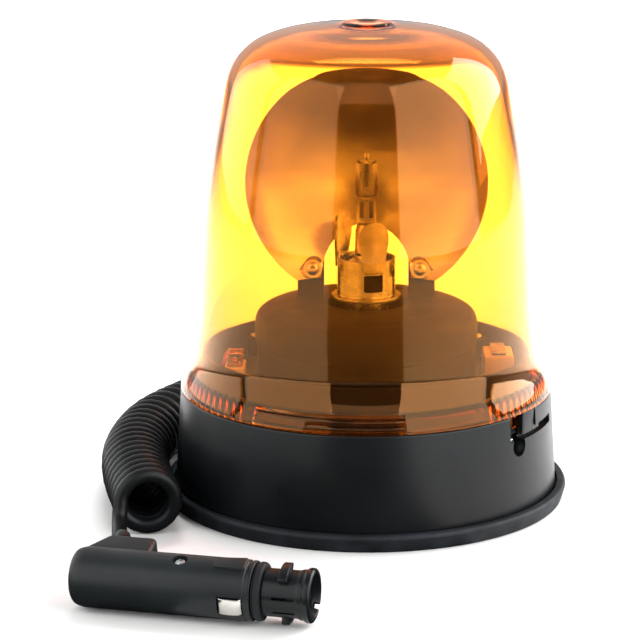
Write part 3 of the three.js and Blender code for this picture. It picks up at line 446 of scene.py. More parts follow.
def studio():
    optics = bpy.data.cameras.new("camera")
    optics.lens, optics.sensor_width = 180, 36
    optics.clip_start, optics.clip_end = 0.05, 50
    camera = bpy.data.objects.new("camera", optics)
    camera.location = CAMERA_PLACE
    camera.rotation_euler = [math.radians(a) for a in CAMERA_TURN]
    bpy.context.scene.collection.objects.link(camera)
    bpy.context.scene.camera = camera
    floor = block((-9000, -9000, -20), (9000, 9000, -0.05))
    floor.name = "floor"
    # matt painted board: white, so that only the beacon's contact shadow shows
    board = finished("White_painted_board", ("#F6F6F5", "#FAFAF9"), 400, (0.7, 0.8), 6, 0.02)
    floor.data.materials.append(board)
    for name, (place, aim, size, power, spread) in LAMPS.items():
        light = bpy.data.lights.new(name, "AREA")
        light.shape, light.size, light.size_y = "RECTANGLE", size[0] * MM, size[1] * MM
        light.energy, light.spread = power, math.radians(spread)
        lamp = bpy.data.objects.new(name, light)
        lamp.location = Vector(place) * MM
        facing = (Vector(aim) - Vector(place)).to_track_quat("-Z", "Y")
        lamp.rotation_euler = facing.to_euler()
        lamp.visible_glossy = name != "floor_panel"
        bpy.context.scene.collection.objects.link(lamp)
    # black felt on the table in front, which only reflections see, keeps the front dark,
    # and its opening leaves one contact of the plug bright
    flag = cut(prism(FELT, -0.04, -0.02), block(*FELT_OPENING))
    flag.name = "black_flag"
    flag.data.materials.append(finished("Black_felt", ("#050505", "#080808"), 40, (0.9, 1.0), 1,
                                        0.02))
    flag.visible_camera = flag.visible_diffuse = flag.visible_shadow = False
    flag.visible_transmission = False
    world = bpy.data.worlds.new("studio")
    world.use_nodes = True
    world.node_tree.nodes.clear()
    # the room is bright behind the beacon and dim in front of it
    place = add(world, "TexCoord").outputs["Generated"]
    way = add(world, "SeparateXYZ", links={0: place}).outputs["Y"]
    share = add(world, "MapRange", {
        "From Min": -0.1, "From Max": 0.55, "To Min": 0.1, "To Max": 0.7},
        {"Value": way}).outputs[0]
    sky = add(world, "Background", {"Color": (1, 1, 1, 1)}, {"Strength": share})
    add(world, "OutputWorld", links={"Surface": sky.outputs[0]})
    bpy.context.scene.world = world
    bpy.context.scene.view_settings.view_transform = "Standard"


studio()

# ---- cord ----
COIL_ROUTE = [(14.1, 147.2), (9, 147), (-10, 146), (-36, 129), (-58, 101), (-76, 73),
              (-90.5, 44), (-96.3, 12), (-94.9, -20), (-88, -58.5), (-87.1, -63.6)]
LEAD_ROUTE = [(8.4, 95, 25), (8.9, 100.9, 24.9), (9.7, 108, 24), (10.9, 116, 22.7),
              (12, 124, 22.3), (13, 132, 23), (13.7, 140, 24.7)]
TAIL_ROUTE = [(-98.3, -67.5, 10.2), (-98, -73.5, 6), (-97.6, -81, 4.2),
              (-97, -89, 5), (-96.2, -97, 8), (-95.1, -105, 12), (-94, -113, 15.9),
              (-93, -120, 18.6), (-92.6, -124, 19.3), (-92.8, -127.4, 18.8),
              (-93.6, -131.1, 17.5), (-94.5, -134.8, 16.4)]
COIL_HEIGHT = COIL_RADIUS + 0.1
WINDING_RADIUS = COIL_RADIUS - CABLE_RADIUS
WINDING_SLACK = 1.015         # how far the turns stand apart, in cable diameters
TURN_POINTS = 24
AXIS_STEP = 0.25
OVER_TOP = 0.75               # the first turn starts here, in turns


def cord_line():
    """The whole cord: from the gland, round the curls, and on to the plug.

    The turns touch inside a bend, which opens their pitch along the axis, and their number
    is trimmed so that they end on the coil's outer side, where the tail starts.
    """
    axis = evenly(through([(x, y, COIL_HEIGHT) for x, y in COIL_ROUTE], 40), AXIS_STEP)
    turns, span = [0.0], 12
    for i in range(1, len(axis)):
        middle = min(max(i, span), len(axis) - 1 - span)
        start, end = axis[middle - span], axis[middle + span]
        chord = end - start
        sag = chord.cross(axis[middle] - start).length / chord.length
        bend = 8 * sag / chord.length ** 2
        pitch = WINDING_SLACK * 2 * CABLE_RADIUS / (1 - WINDING_RADIUS * bend)
        turns.append(turns[-1] + (axis[i] - axis[i - 1]).length / pitch)
    even = (math.floor(OVER_TOP + turns[-1]) - OVER_TOP) / turns[-1]
    curls, wanted = [], 0.0
    for i in range(1, len(axis)):
        along = (axis[i] - axis[i - 1]).normalized()
        across = Vector((along.y, -along.x, 0))
        while wanted <= turns[i]:
            share = (wanted - turns[i - 1]) / (turns[i] - turns[i - 1])
            angle = math.tau * (OVER_TOP + wanted * even)
            curls.append(axis[i - 1].lerp(axis[i], share) + WINDING_RADIUS * (
                math.cos(angle) * across - math.sin(angle) * Vector((0, 0, 1))))
            wanted += 1 / TURN_POINTS
    lead = through([*LEAD_ROUTE, curls[0]], 4)[:-1]
    tail = through([curls[-1], *TAIL_ROUTE], 4)[1:]
    return [*lead, *curls, *tail]


cord_points = cord_line()
curly = piece("curly_supply_cord", wire(cord_points, CABLE_RADIUS, 6), cable_pur, "base",
              "cable_jacket", "cord_lead", "curly_cord", "cord_tail")


GLAND_WALL = 78.39            # the housing's outer face where the gland passes it


def gland():
    """A moulded strain relief: a flange against the wall, and a ribbed taper."""
    wall = GLAND_WALL
    points = [(0, wall - 5.8), (5.8, wall - 5.8, 0.3), (5.8, wall - 3.8, 0.3),
              (4.9, wall - 3.8, 0.2), (4.9, wall + 0.8, 0.2), (7.2, wall + 0.8, 0.4),
              (6.9, wall + 4, 0.8)]
    for i in range(6):
        near, radius = wall + 5.2 + 2.7 * i, 6.0 - 0.27 * i
        points += [(radius - 0.9, near, 0.3), (radius - 0.9, near + 1.1, 0.3),
                   (radius, near + 1.3, 0.3), (radius - 0.1, near + 2.5, 0.3)]
    points += [(3.5, wall + 22, 0.3), (0, wall + 22)]
    work = spun(turned(points, 48), 90, "Y")
    return moved(spun(work, GLAND_ANGLE), z=GLAND_HEIGHT)


cord_gland = piece("ribbed_cord_gland", gland(), foot_epdm, "base", "foot_rubber", "cord_gland")


# ---- base ----
def foot():
    """A foot ring with a lip, grooved below and seated in the housing's groove."""
    points = [(70, 0, 0.5)]
    for radius in (72.4, 75.2, 78.0):
        points += [(radius, 0, 0.2), (radius + 0.5, 0.9, 0.2), (radius + 1.3, 0.9, 0.2),
                   (radius + 1.8, 0, 0.2)]
    points += [(82.3, 0, 0.9), (83.5, 4.3, 0.6), (LIP_RADIUS, 5.6, 0.6), (83.2, 7.1, 0.7),
               (80.3, 7.1, 0.3), (80.3, 4, 0.2), (76.5, 4, 0.2), (76.5, 8, 0.5), (70, 8, 0.8)]
    return turned(points, 256)


piece("rubber_foot", foot(), foot_epdm, "base", "foot_rubber", "foot_ring")


def housing_radius(height):
    share = (height - GROOVE_FLOOR) / (SEAM - GROOVE_FLOOR)
    return HOUSING_FOOT_RADIUS + (HOUSING_TOP_RADIUS - HOUSING_FOOT_RADIUS) * share


def radial_rod(radius, near, far, degrees, height, steps=48):
    return moved(spun(spun(rod(radius, near, far, steps), 90, "Y"), degrees), z=height)


def at_tray_screws(radius, low, high, steps):
    """A rod at each of the tray's four fixing screws."""
    return [moved(rod(radius, low, high, steps), *polar(SCREW_CIRCLE, angle))
            for angle in SCREW_ANGLES]


def housing():
    """The shell with its floor, ledge and screw posts, less its slots and its openings."""
    top_inner = HOUSING_TOP_RADIUS - HOUSING_WALL
    floor, floor_top = 16.5, 19.0
    ledge_low, ledge, ledge_radius = 34.5, SEAM - 9.5, 66
    slot_floor, slot_roof = SEAM - 10.5, SEAM - 7
    body = turned([
        (3.3, floor, 0.2), (76.9, floor, 0.8), (77.1, 4.3, 0.3), (housing_radius(4.3), 4.3, 0.5),
        (HOUSING_TOP_RADIUS, SEAM, 0.9), (top_inner, SEAM, 0.3), (top_inner, ledge, 0.2),
        (ledge_radius, ledge, 0.2), (ledge_radius, ledge_low, 0.2),
        (housing_radius(ledge) - HOUSING_WALL, ledge_low, 0.5),
        (housing_radius(floor_top) - HOUSING_WALL, floor_top, 1.2), (3.3, floor_top, 0.2),
    ], 256)
    boss = spun(block((top_inner - 12, -6.5, LOCK_HEIGHT - 5.5), (top_inner + 1, 6.5, ledge)),
                LOCK_ANGLE)
    fused(body, *at_tray_screws(4.6, floor_top - 1, 47.7, 32), boss)
    holes = at_tray_screws(2, 34, 50, 24)
    for turn in (0, 180):
        inner, outer = top_inner - 0.4, HOUSING_TOP_RADIUS + 3
        entry = sector(inner, outer, slot_floor, SEAM + 1, 48.9 - 90, 63.4 - 90)
        lock = sector(inner, outer, slot_floor, slot_roof, 62.4 - 90, 77.3 - 90)
        holes += [spun(entry, turn), spun(lock, turn)]
    pocket_floor = HOUSING_TOP_RADIUS - LOCK_DEPTH
    holes += [
        radial_rod(4.3, pocket_floor, LIP_RADIUS, LOCK_ANGLE, LOCK_HEIGHT),
        radial_rod(1.8, top_inner - 10, LIP_RADIUS, LOCK_ANGLE, LOCK_HEIGHT, 24),
        radial_rod(5.2, ledge_radius, LIP_RADIUS, GLAND_ANGLE, GLAND_HEIGHT),
    ]
    return cut(body, *holes)


piece("base_shell", housing(), housing_abs, "base", "black_housing", "base_housing", sharp=28)


THREAD_PITCH = 0.8
THREAD_DEPTH = 0.22


def threaded(radius, length, pitch):
    """The side of a screw's shank below its head, as rings a pitch apart."""
    points = []
    for i in range(max(1, int(length / pitch))):
        points += [(radius - THREAD_DEPTH, (i + 0.25) * pitch - length),
                   (radius, (i + 0.75) * pitch - length)]
    return points


def screw(head, rise, shank, length, cross=True):
    """A pan-head screw whose head stands on z = 0, with a cross or a slot cut in it."""
    points = [(0, -length), *threaded(shank, length, THREAD_PITCH), (shank, -0.05),
              (head, 0, 0.15), (head, rise * 0.45, 0.4), (head * 0.72, rise * 0.86, 0.8),
              (0, rise)]
    work = turned(points, 40)
    if cross:
        arm = head * 0.62
        recess = fused(block((-arm, -0.42, rise * 0.35), (arm, 0.42, rise + 1)),
                       block((-0.42, -arm, rise * 0.35), (0.42, arm, rise + 1)))
    else:
        recess = block((-head - 1, -0.45, rise * 0.4), (head + 1, 0.45, rise + 1))
    return cut(work, recess)


lock_screw = spun(spun(screw(2.8, 1.9, 1.5, 6.0), 20), 90, "Y")
moved(lock_screw, HOUSING_TOP_RADIUS - LOCK_DEPTH + GAP)
piece("lens_lock_screw", moved(spun(lock_screw, LOCK_ANGLE), z=LOCK_HEIGHT), zinc_steel, "base",
      "bright_steel", "lock_screw")
piece("magnet_pot", turned([
    (0, 0.4), (18, 0.4, 0.5), (18, 12.2, 0.2), (51, 12.2, 0.2), (51, 0.4, 0.3), (55, 0.4, 0.9),
    (55, 16.2, 1.5), (3.1, 16.2, 0.2), (3.1, 7.2, 0.2), (0, 7.2)], 160),
    zinc_steel, "base", "bright_steel", "magnet_cup")
piece("ferrite_ring", ring(18.3, 50.7, 0.9, 11.9, 0.6), ferrite, "base", "ferrite",
      "ring_magnet")
piece("skirt_seal", ring(71, 73, 37.3, 39.7, 0.5, 160), foot_epdm, "base", "foot_rubber",
      "lens_seal")


# ---- chassis tray ----
MOTOR_PLACE = (0, 33.75)
WIRE_HOLES = ((-60.6, -9.5), (-60.4, -17))


def tray():
    """A dished plate on a skirt, with a boss and a rib at each fixing screw."""
    inner, underside = TRAY_RADIUS - 1.8, TRAY_FLOOR - 2
    body = turned([
        (9.3, underside, 0.2), (inner, underside, 0.3), (inner, 37.3, 0.2),
        (TRAY_RADIUS, 37.3, 0.3), (TRAY_RADIUS, TRAY_RIM, 0.6), (inner, TRAY_RIM, 0.6),
        (inner, TRAY_FLOOR, 1.6), (14.6, TRAY_FLOOR, 0.3), (14.6, 51.5, 0.3),
        (9.3, 51.5, 0.2)], 192)
    ribs = [spun(block((SCREW_CIRCLE + 2, -1, 49.2), (inner + 0.6, 1, 56.5)), angle)
            for angle in SCREW_ANGLES]
    fused(body, *at_tray_screws(4.6, 49, 58, 40), *ribs)
    low, high = underside - 1, TRAY_FLOOR + 1
    motor_x, motor_y = MOTOR_PLACE
    holes = at_tray_screws(2, low, 59, 24)
    holes.append(moved(rod(3.6, low, high, 32), motor_x, motor_y))
    holes += [moved(rod(1.5, low, high, 20), motor_x + side * 8, motor_y) for side in (-1, 1)]
    holes += [moved(rod(2, low, high, 20), x, y) for x, y in WIRE_HOLES]
    return cut(body, *holes)


piece("black_chassis_tray", tray(), chassis_nylon, "base", "black_chassis", "chassis_tray")
for number, angle in enumerate(SCREW_ANGLES, 1):
    x, y = polar(SCREW_CIRCLE, angle)
    work = moved(spun(screw(3.2, 2.3, 1.7, 12), 17 * number), x, y, 58.3)
    piece(f"tray_fixing_{number}", work, zinc_steel, "base", "bright_steel",
          f"tray_screw_{number}")


def choke():
    """A wound rod in a shrunk sleeve, whose turns show through as shallow rings."""
    points = [(0, 0), (1.4, 0, 0.1), (2.9, 0.1, 0.5), (3.5, 0.9, 0.4)]
    for i in range(8):
        points += [(3.5, 1.6 + 1.5 * i, 0.4), (3.3, 2.3 + 1.5 * i, 0.4)]
    points += [(3.5, 14.1, 0.4), (2.9, 14.9, 0.5), (1.4, 15, 0.1), (0, 15)]
    return moved(spun(turned(points, 48), 90, "X"), -56.6, 10, 55.6)


piece("sleeved_choke", choke(), red_sleeve, "base", "red_sleeve", "noise_choke")


TERMINALS = (-53.3, -17, 50.3)
BLADE_OFFSET = 3.6


def terminal_block():
    """A moulded block with a well for each blade and a slot across its middle."""
    x, y, z = TERMINALS
    body = softened(block((x - 4, y - 7, z), (x + 4, y + 7, z + 9.6)), 0.4)
    tools = [block((x - 3.4, middle - 0.9, z + 3.6), (x + 3.4, middle + 0.9, z + 11))
             for middle in (y - BLADE_OFFSET, y + BLADE_OFFSET)]
    tools.append(block((x - 8, y - 0.8, z + 7.1), (x + 8, y + 0.8, z + 11)))
    return cut(body, *tools)


piece("wire_terminal_block", terminal_block(), natural_nylon, "base", "pale_nylon",
      "terminal_block")
for side, name in ((-1, "front"), (1, "rear")):
    x, y, top = TERMINALS[0], TERMINALS[1] + side * BLADE_OFFSET, TERMINALS[2] + 9.6
    blade = fused(block((x - 3.1, y - 0.45, top - 5.6), (x + 3.1, y + 0.45, top + 5.4)),
                  block((x - 3.1, y - 1.5, top + 0.3), (x + 3.1, y + 1.5, top + 1.1)))
    hole = moved(spun(rod(0.9, -3, 3, 24), 90, "X"), x, y, top + 3.2)
    piece(f"brass_blade_{name}", softened(cut(blade, hole), 0.12, 2), stamped_brass, "base",
          "brass", f"terminal_{name}")
piece("film_capacitor", softened(block((48.6, -10.5, 50.3), (61, 6.5, 61.9)), 1.1, 4),
      capacitor_case, "base", "pale_nylon", "capacitor")


STRAP_PLACE = (54.8, 11.4)
STRAP_HALF = 0.45


def strap():
    """A bent strip over the capacitor, down its far side and out along the tray."""
    line = [(-10.4, 62.7), (6.6, 62.7), (7.3, 62), (7.3, 51.6), (7.9, 50.8), (14.6, 50.8)]
    outline = []
    for run in (line, line[::-1]):
        for i, (y, z) in enumerate(run):
            before, after = run[max(0, i - 1)], run[min(len(run) - 1, i + 1)]
            along = Vector((after[0] - before[0], after[1] - before[1])).normalized()
            outline.append((y - STRAP_HALF * along.y, z + STRAP_HALF * along.x))
    work = moved(crossways(prism(outline, -3, 3)), STRAP_PLACE[0])
    return softened(cut(work, moved(rod(1.6, 49, 53, 24), *STRAP_PLACE)), 0.12, 2)


piece("capacitor_clamp", strap(), zinc_steel, "base", "bright_steel", "capacitor_strap")
piece("clamp_screw", moved(screw(2.6, 1.8, 1.2, 1.3), *STRAP_PLACE, 51.6), zinc_steel, "base",
      "bright_steel", "strap_screw")


# ---- spindle ----
piece("hollow_spindle", turned([
    (7, 43, 0.2), (9, 43, 0.3), (9, 51.8, 0.1), (14.6, 51.8, 0.3), (14.6, 53.8, 0.3),
    (9, 53.8, 0.2), (9, 84.7, 0.4), (7, 84.7, 0.2)], 96), zinc_steel, "base", "bright_steel",
    "spindle_tube")
piece("nylon_thrust_washer", ring(9.3, 14, 54.1, 54.7, 0.1), natural_nylon, "base",
      "pale_nylon", "thrust_washer")
piece("spindle_retainer", ring(9.3, 12.2, 71.8, 72.7, 0.15), spring_steel, "base",
      "bright_steel", "retaining_ring")


# ---- rotor ----
def dish_depth(radius):
    """How far a parabola's point lies behind the plane through its focus."""
    return DISH_FOCUS - radius * radius / (4 * DISH_FOCUS)


def dish_shell(thickness, grown=0.0, steps=160, rows=36):
    """The dish without its cuts; grown makes it larger, as a tool that cuts room for it."""
    reach = DISH_RADIUS + grown
    radii = [reach * i / rows for i in range(rows + 1)]
    front = [(r, -dish_depth(r)) for r in reversed(radii)]
    back = [(r, -dish_depth(r) - thickness) for r in radii]
    edge = [(reach + 0.15, -dish_depth(reach) - 0.15)] if not grown else []
    work = turned([*back, *edge, *front], steps)
    return moved(spun(work, 90, "X"), z=DISH_CENTRE)


def front_rod(radius, near, far, x, z, steps=40):
    """A rod along Y, from a near to a far place."""
    return moved(spun(rod(radius, -far, -near, steps), 90, "X"), x, 0, z)


def rivet_rods(radius, near, far):
    return [front_rod(radius, near, far, side * RIVET_OFFSET, RIVET_HEIGHT)
            for side in (-1, 1)]


def drum():
    """The drum's side and deck, its hub, and the two uprights that carry the dish."""
    body = turned([
        (11.6, 55, 0.2), (14.4, 55, 0.3), (14.4, 62, 0.4), (18.9, 62, 0.8), (18.9, 80.8, 0.5),
        (28, 80.8, 1), (35, 80, 1), (40, 78.3, 1), (43.4, 75, 1.4), (43.4, 52, 0.2),
        (45.4, 52, 0.4), (45.4, 65.4, 0.1), (46, 66, 0.3), (46, 75.5, 3), (45, 78.7, 3),
        (41.5, 81, 3), (36, 82.6, 2), (29, 83.2, 2), (16.7, 83.2, 0.7), (16.7, 64, 0.8),
        (14.4, 64, 0.3), (14.4, 71.2, 0.3), (11.6, 71.2, 0.2)], 192)
    for side in (-1, 1):
        low, high = sorted((side * 17.5, side * 28.5))
        plate = softened(block((low, 6.2, 81.6), (high, 9.2, 101.4)), 0.5)
        web = prism([(7.2, 81.6), (16.5, 81.6), (8.4, 97)], side * 23 - 1, side * 23 + 1)
        fused(body, plate, crossways(web))
    return cut(body, dish_shell(1.5, 0.3, 96, 16), *rivet_rods(1.7, -20, 20))


piece("drum_and_uprights", drum(), chassis_nylon, "rotor", "black_chassis", "rotor_drum")
piece("oil_bronze_bush", ring(9.3, 11.3, 55, 71.2, 0.3), sintered_bronze, "rotor", "bronze",
      "rotor_bush")


def reflector():
    """The dish, cut off level below and arched over the lamp, with two rivet bosses."""
    shell = fused(dish_shell(1.2), *rivet_rods(3.9, -3.6, 5.9))
    below = block((-60, -30, 0), (60, 40, DISH_CUT))
    arch = front_rod(ARCH_RADIUS, -30, 40, 0, ARCH_CENTRE, 96)
    return cut(shell, *rivet_rods(1.7, -20, 20), below, arch)


piece("parabolic_dish", reflector(), metallised_dish, "rotor", "polished_dish", "reflector",
      sharp=40)
for side, name in ((-1, "left"), (1, "right")):
    work = turned([(0, -10.5), (2.3, -10.5, 0.3), (2.3, -9.5, 0.1), (1.4, -9.5, 0.1),
                   (1.4, 3.9, 0.1), (2.7, 3.9, 0.1), (2.7, 4.3, 0.3), (1.6, 5.1, 0.5),
                   (0, 5.3)], 40)
    moved(spun(work, 90, "X"), side * RIVET_OFFSET, 0, RIVET_HEIGHT)
    piece(f"dish_rivet_{name}", work, nickel_steel, "rotor", "bright_steel",
          f"reflector_rivet_{name}")


# ---- lamp ----
def holder():
    """A collar on a flange and a neck, with a window in its side."""
    body = turned([
        (5.4, 77, 0.1), (6.7, 77, 0.2), (6.7, 85, 0.1), (14.4, 85, 0.3), (14.4, 86.5, 0.3),
        (12, 86.5, 0.5), (12, 102, 0.25), (11, 102, 0.25), (11, 86.5, 0.1),
        (5.4, 86.5, 0.1)], 96)
    window = spun(softened(block((8, -4, 89.4), (14, 4, 96.6)), 0.7), CLIP_ANGLES["front"])
    return cut(body, window)


piece("lamp_collar", holder(), zinc_steel, "base", "bright_steel", "bulb_holder")
piece("collar_insulator", ring(3.4, 10.7, 86.8, 99, 0.3), chassis_nylon, "base", "black_chassis",
      "holder_insulator")
piece("lamp_base", turned([
    (0, 91), (3, 91, 0.4), (3, 99.3, 0.1), (7.2, 99.3, 0.2), (7.2, 100.3, 0.2), (4.9, 100.7, 0.2),
    (4.6, 103, 0.3), (4.7, 104, 0.3), (4.5, 113, 0.6), (3.7, 116, 0.4), (0, 116)], 64),
    nickel_steel, "base", "bright_steel", "bulb_base")


CLIP_INNER, CLIP_OUTER = 12.3, 13.2
CLIP_LOW, CLIP_TOP = 97.2, 119.0
CLIP_HALF = 6.0


def clip(angle):
    """A sprung leaf with a round head, bent to the collar it stands on."""
    head = CLIP_TOP - CLIP_HALF
    neck = head - 3
    rows = [CLIP_LOW + (neck - CLIP_LOW) * i / 6 for i in range(7)]
    rows += [neck + 1.5, head]
    rows += [head + CLIP_HALF * math.sin(math.radians(a)) for a in (15, 30, 45, 58, 70, 79, 85)]
    columns = 12
    grid, vertices = {}, []
    for layer, radius in enumerate((CLIP_INNER, CLIP_OUTER)):
        for i, height in enumerate(rows):
            if height <= head:
                share = min(1, (height - CLIP_LOW) / (neck - CLIP_LOW))
                width = CLIP_HALF * (0.62 + 0.38 * share)
            else:
                width = math.sqrt(max(0.02, CLIP_HALF ** 2 - (height - head) ** 2))
            for j in range(columns + 1):
                turn = width * (2 * j / columns - 1) / CLIP_INNER
                grid[layer, i, j] = len(vertices)
                vertices.append((radius * math.cos(turn), radius * math.sin(turn), height))
    faces, last = [], len(rows) - 1
    for i in range(last):
        for j in range(columns):
            for layer in (0, 1):
                faces.append((grid[layer, i, j], grid[layer, i, j + 1],
                              grid[layer, i + 1, j + 1], grid[layer, i + 1, j]))
    for j in range(columns):
        for i in (0, last):
            faces.append((grid[0, i, j], grid[0, i, j + 1], grid[1, i, j + 1], grid[1, i, j]))
    for i in range(last):
        for j in (0, columns):
            faces.append((grid[0, i, j], grid[0, i + 1, j], grid[1, i + 1, j], grid[1, i, j]))
    return spun(softened(solid(vertices, faces), 0.2, 2, 50), angle)


for name, angle in CLIP_ANGLES.items():
    piece(f"lamp_clip_{name}", clip(angle), spring_steel, f"{name}_clip", "bright_steel",
          f"clip_{name}", sharp=40)


def lamp_glass():
    """A hollow quartz tube with a drawn tip, closed by a flat pinch."""
    outer = [(0, 125.4), (1.6, 125.6), (3.6, 126.6), (4.5, 128.2), (4.5, 140.6), (3.4, 142),
             (1.2, 142.8), (0.9, 145.2), (0, 146)]
    inner = [(0, 127.4), (2.2, 127.8), (3.6, 129.2), (3.6, 140.2), (2.4, 141.2), (0, 141.6)]
    body = cut(turned([(max(0, r), z) for r, z in through(outer, 4)], 64),
               turned([(max(0, r), z) for r, z in through(inner, 3)], 64))
    pinch = softened(block((-4, -1.3, 116.3), (4, 1.3, 127)), 0.5, 3)
    return fused(body, pinch)


piece("quartz_bulb", lamp_glass(), quartz_glass, "base", "clear_glass", "bulb_glass", sharp=50)
FILAMENT_RADIUS = 0.75
FILAMENT_LOW = 131.5
FILAMENT_LENGTH = 5.5
FILAMENT_POINTS = 110
filament = [(FILAMENT_RADIUS * math.cos(0.7 * i), FILAMENT_RADIUS * math.sin(0.7 * i),
             FILAMENT_LOW + FILAMENT_LENGTH * i / FILAMENT_POINTS)
            for i in range(FILAMENT_POINTS + 1)]
piece("tungsten_filament", wire(filament, 0.14, 2), tungsten, "base", "bright_steel")
# the long support carries the filament's upper end and the short one its lower end
SUPPORTS = {
    "left": [(-2.2, 0, 127.9), (-2.5, 0, 130), (-2.5, 0, 136.6), (-1.6, 0, 137.4),
             (-0.6, 0, 137.1)],
    "right": [(1.6, 0, 127.9), (1.6, 0, 129), (1.4, 0, 130.2), (0.75, 0, 131.2)],
}
for name, foil_place in (("left", -1.9), ("right", 1.9)):
    piece(f"filament_support_{name}", wire(through(SUPPORTS[name], 4), 0.2, 3), tungsten, "base",
          "bright_steel")
    foil = block((foil_place - 0.8, -0.06, 118.4), (foil_place + 0.8, 0.06, 125.2))
    piece(f"molybdenum_foil_{name}", foil, tungsten, "base", "bright_steel")


# ---- lens ----
LENS_STEPS = 648              # six to a rib
FLARE = [(77.1, 46.8), (76.95, 48.2), (76.3, 50.4), (74.9, 53.4), (73.1, 57), (71.7, 60.6),
         (70.8, 65), (70.25, 70)]
DOME = [(70.25, 70), (69.4, 80), (68.6, 100), (67.4, 120), (64.6, 140), (61.9, 155),
        (59.6, 167), (57.4, 176), (54.3, 183), (49.9, 188), (44.6, 191.6), (34.9, 194.9),
        (20.7, 197.1), (11.2, 198.2)]


LENS_WALL = 2.2
LENS_TOP_EXTRA = 1.3
RIBS = (39, 141)              # degrees from the front, on either side
RIB_LOW, RIB_HIGH = 46.9, 54.5
RIB_SHAPE = (0, 0.4, 0.8, 1, 0.8, 0.4)
RIB_DEPTH = 1.1
# the skirt's raised frames: from and to in degrees from the front, and low and high
FRAMES = ((-36, 12.5, 47.2, 53.6), (-18.5, 12.5, 48.1, 51.4))
FRAME_LINE = 0.7
FRAME_RISE = 0.5


def lens_wall(height):
    """The dome's wall, which thickens towards its top."""
    return LENS_WALL + LENS_TOP_EXTRA * min(1, max(0, (height - 80) / 80))


def rib(column, front, height):
    """How far a rib inside the skirt stands out, at degrees to the side of the front."""
    start, end = RIBS
    if not (start < front < end and RIB_LOW < height < RIB_HIGH):
        return 0
    fade = min(1, (height - RIB_LOW) / 0.8, (RIB_HIGH - height) / 1.5)
    fade *= min(1, (front - start) / 3, (end - front) / 3)
    return RIB_DEPTH * fade * RIB_SHAPE[column % len(RIB_SHAPE)]


def frame_line(side, height):
    """How far the skirt's raised frames stand out, at degrees to the right of the front."""
    for start, end, low, high in FRAMES:
        within = start < side < end and low < height < high
        deep = (start + FRAME_LINE < side < end - FRAME_LINE
                and low + FRAME_LINE < height < high - FRAME_LINE)
        if within and not deep:
            return FRAME_RISE
    return 0


def inset(line, wall):
    """The same line moved inwards by a wall, which is a thickness at each height."""
    result = []
    for i, point in enumerate(line):
        before, after = line[max(0, i - 1)], line[min(len(line) - 1, i + 1)]
        along = (after - before).normalized()
        depth = wall(point.y)
        result.append(Vector((point.x - depth * along.y, point.y + depth * along.x)))
    return result


def lens():
    """The dome on its flared skirt, ribbed inside and framed outside."""
    flare = evenly(through(FLARE, 12), 0.6)
    dome = evenly(through(DOME, 16), 3.2)
    outer = [*flare, *dome[1:]]
    top = [(10.3, 198.4), (9.9, 199.0), (9.4, 199.2), (4.4, 199.2), (3.6, 198.8), (0, 198.5)]
    inside = [p for p in inset(outer, lens_wall) if p.y > 54]
    spigot = [(73.75, 46.8), (73.75, 40.2), (73.3, 40), (72, 40), (71.6, 40.4), (71.6, 52.5)]
    profile = [(0, 194.8), *(tuple(p) for p in reversed(inside)), *reversed(spigot),
               *(tuple(p) for p in outer), *top]
    first_outer = 1 + len(inside) + len(spigot)

    def shift(row, angle, height):
        side = (math.degrees(angle) + 90 + 180) % 360 - 180
        if row < first_outer:
            return rib(round(angle / math.tau * LENS_STEPS), abs(side), height)
        return frame_line(side, height)
    return turned(profile, LENS_STEPS, shift)


piece("amber_dome", lens(), amber_polycarbonate, "lens", "amber_lens", "dome_lens", sharp=50)
TAB_INNER, TAB_OUTER, TAB_LOW = 73.9, 76.9, 37.6
for turn, name in ((0, "front"), (180, "rear")):
    stem = sector(TAB_INNER, TAB_OUTER, TAB_LOW, 46.6, 55.7 - 90, 62.8 - 90)
    hook = sector(TAB_INNER, TAB_OUTER, TAB_LOW, 39.1, 61.8 - 90, 66.8 - 90)
    piece(f"bayonet_tab_{name}", spun(softened(fused(stem, hook), 0.25, 2), turn), housing_abs,
          "lens", "black_housing")


# ---- lighter plug, made along X and then laid down ----
PLUG = (Matrix.Translation(Vector(PLUG_PLACE) * MM)
        @ Matrix.Rotation(math.radians(PLUG_TURN), 4, "Z")
        @ Matrix.Rotation(math.radians(PLUG_ROLL), 4, "X"))
SCREW_PLACE = 42.5
CONTACT_PLACE = 63.6
CONTACT_HALF = 4.5
CONTACT_WIDTH = 6.6
NOSE_RADIUS = 5.6
NOSE_START = PLUG_LENGTH - 6.4
COLLAR_START = PLUG_LENGTH + 4.0


def laid(work):
    """Puts a shape made along X where the plug lies."""
    work.data.transform(PLUG)
    return work


def lengthways(points, steps=96):
    """Turns (radius, place) points round the plug's axis."""
    return spun(turned(points, steps), 90, "Y")


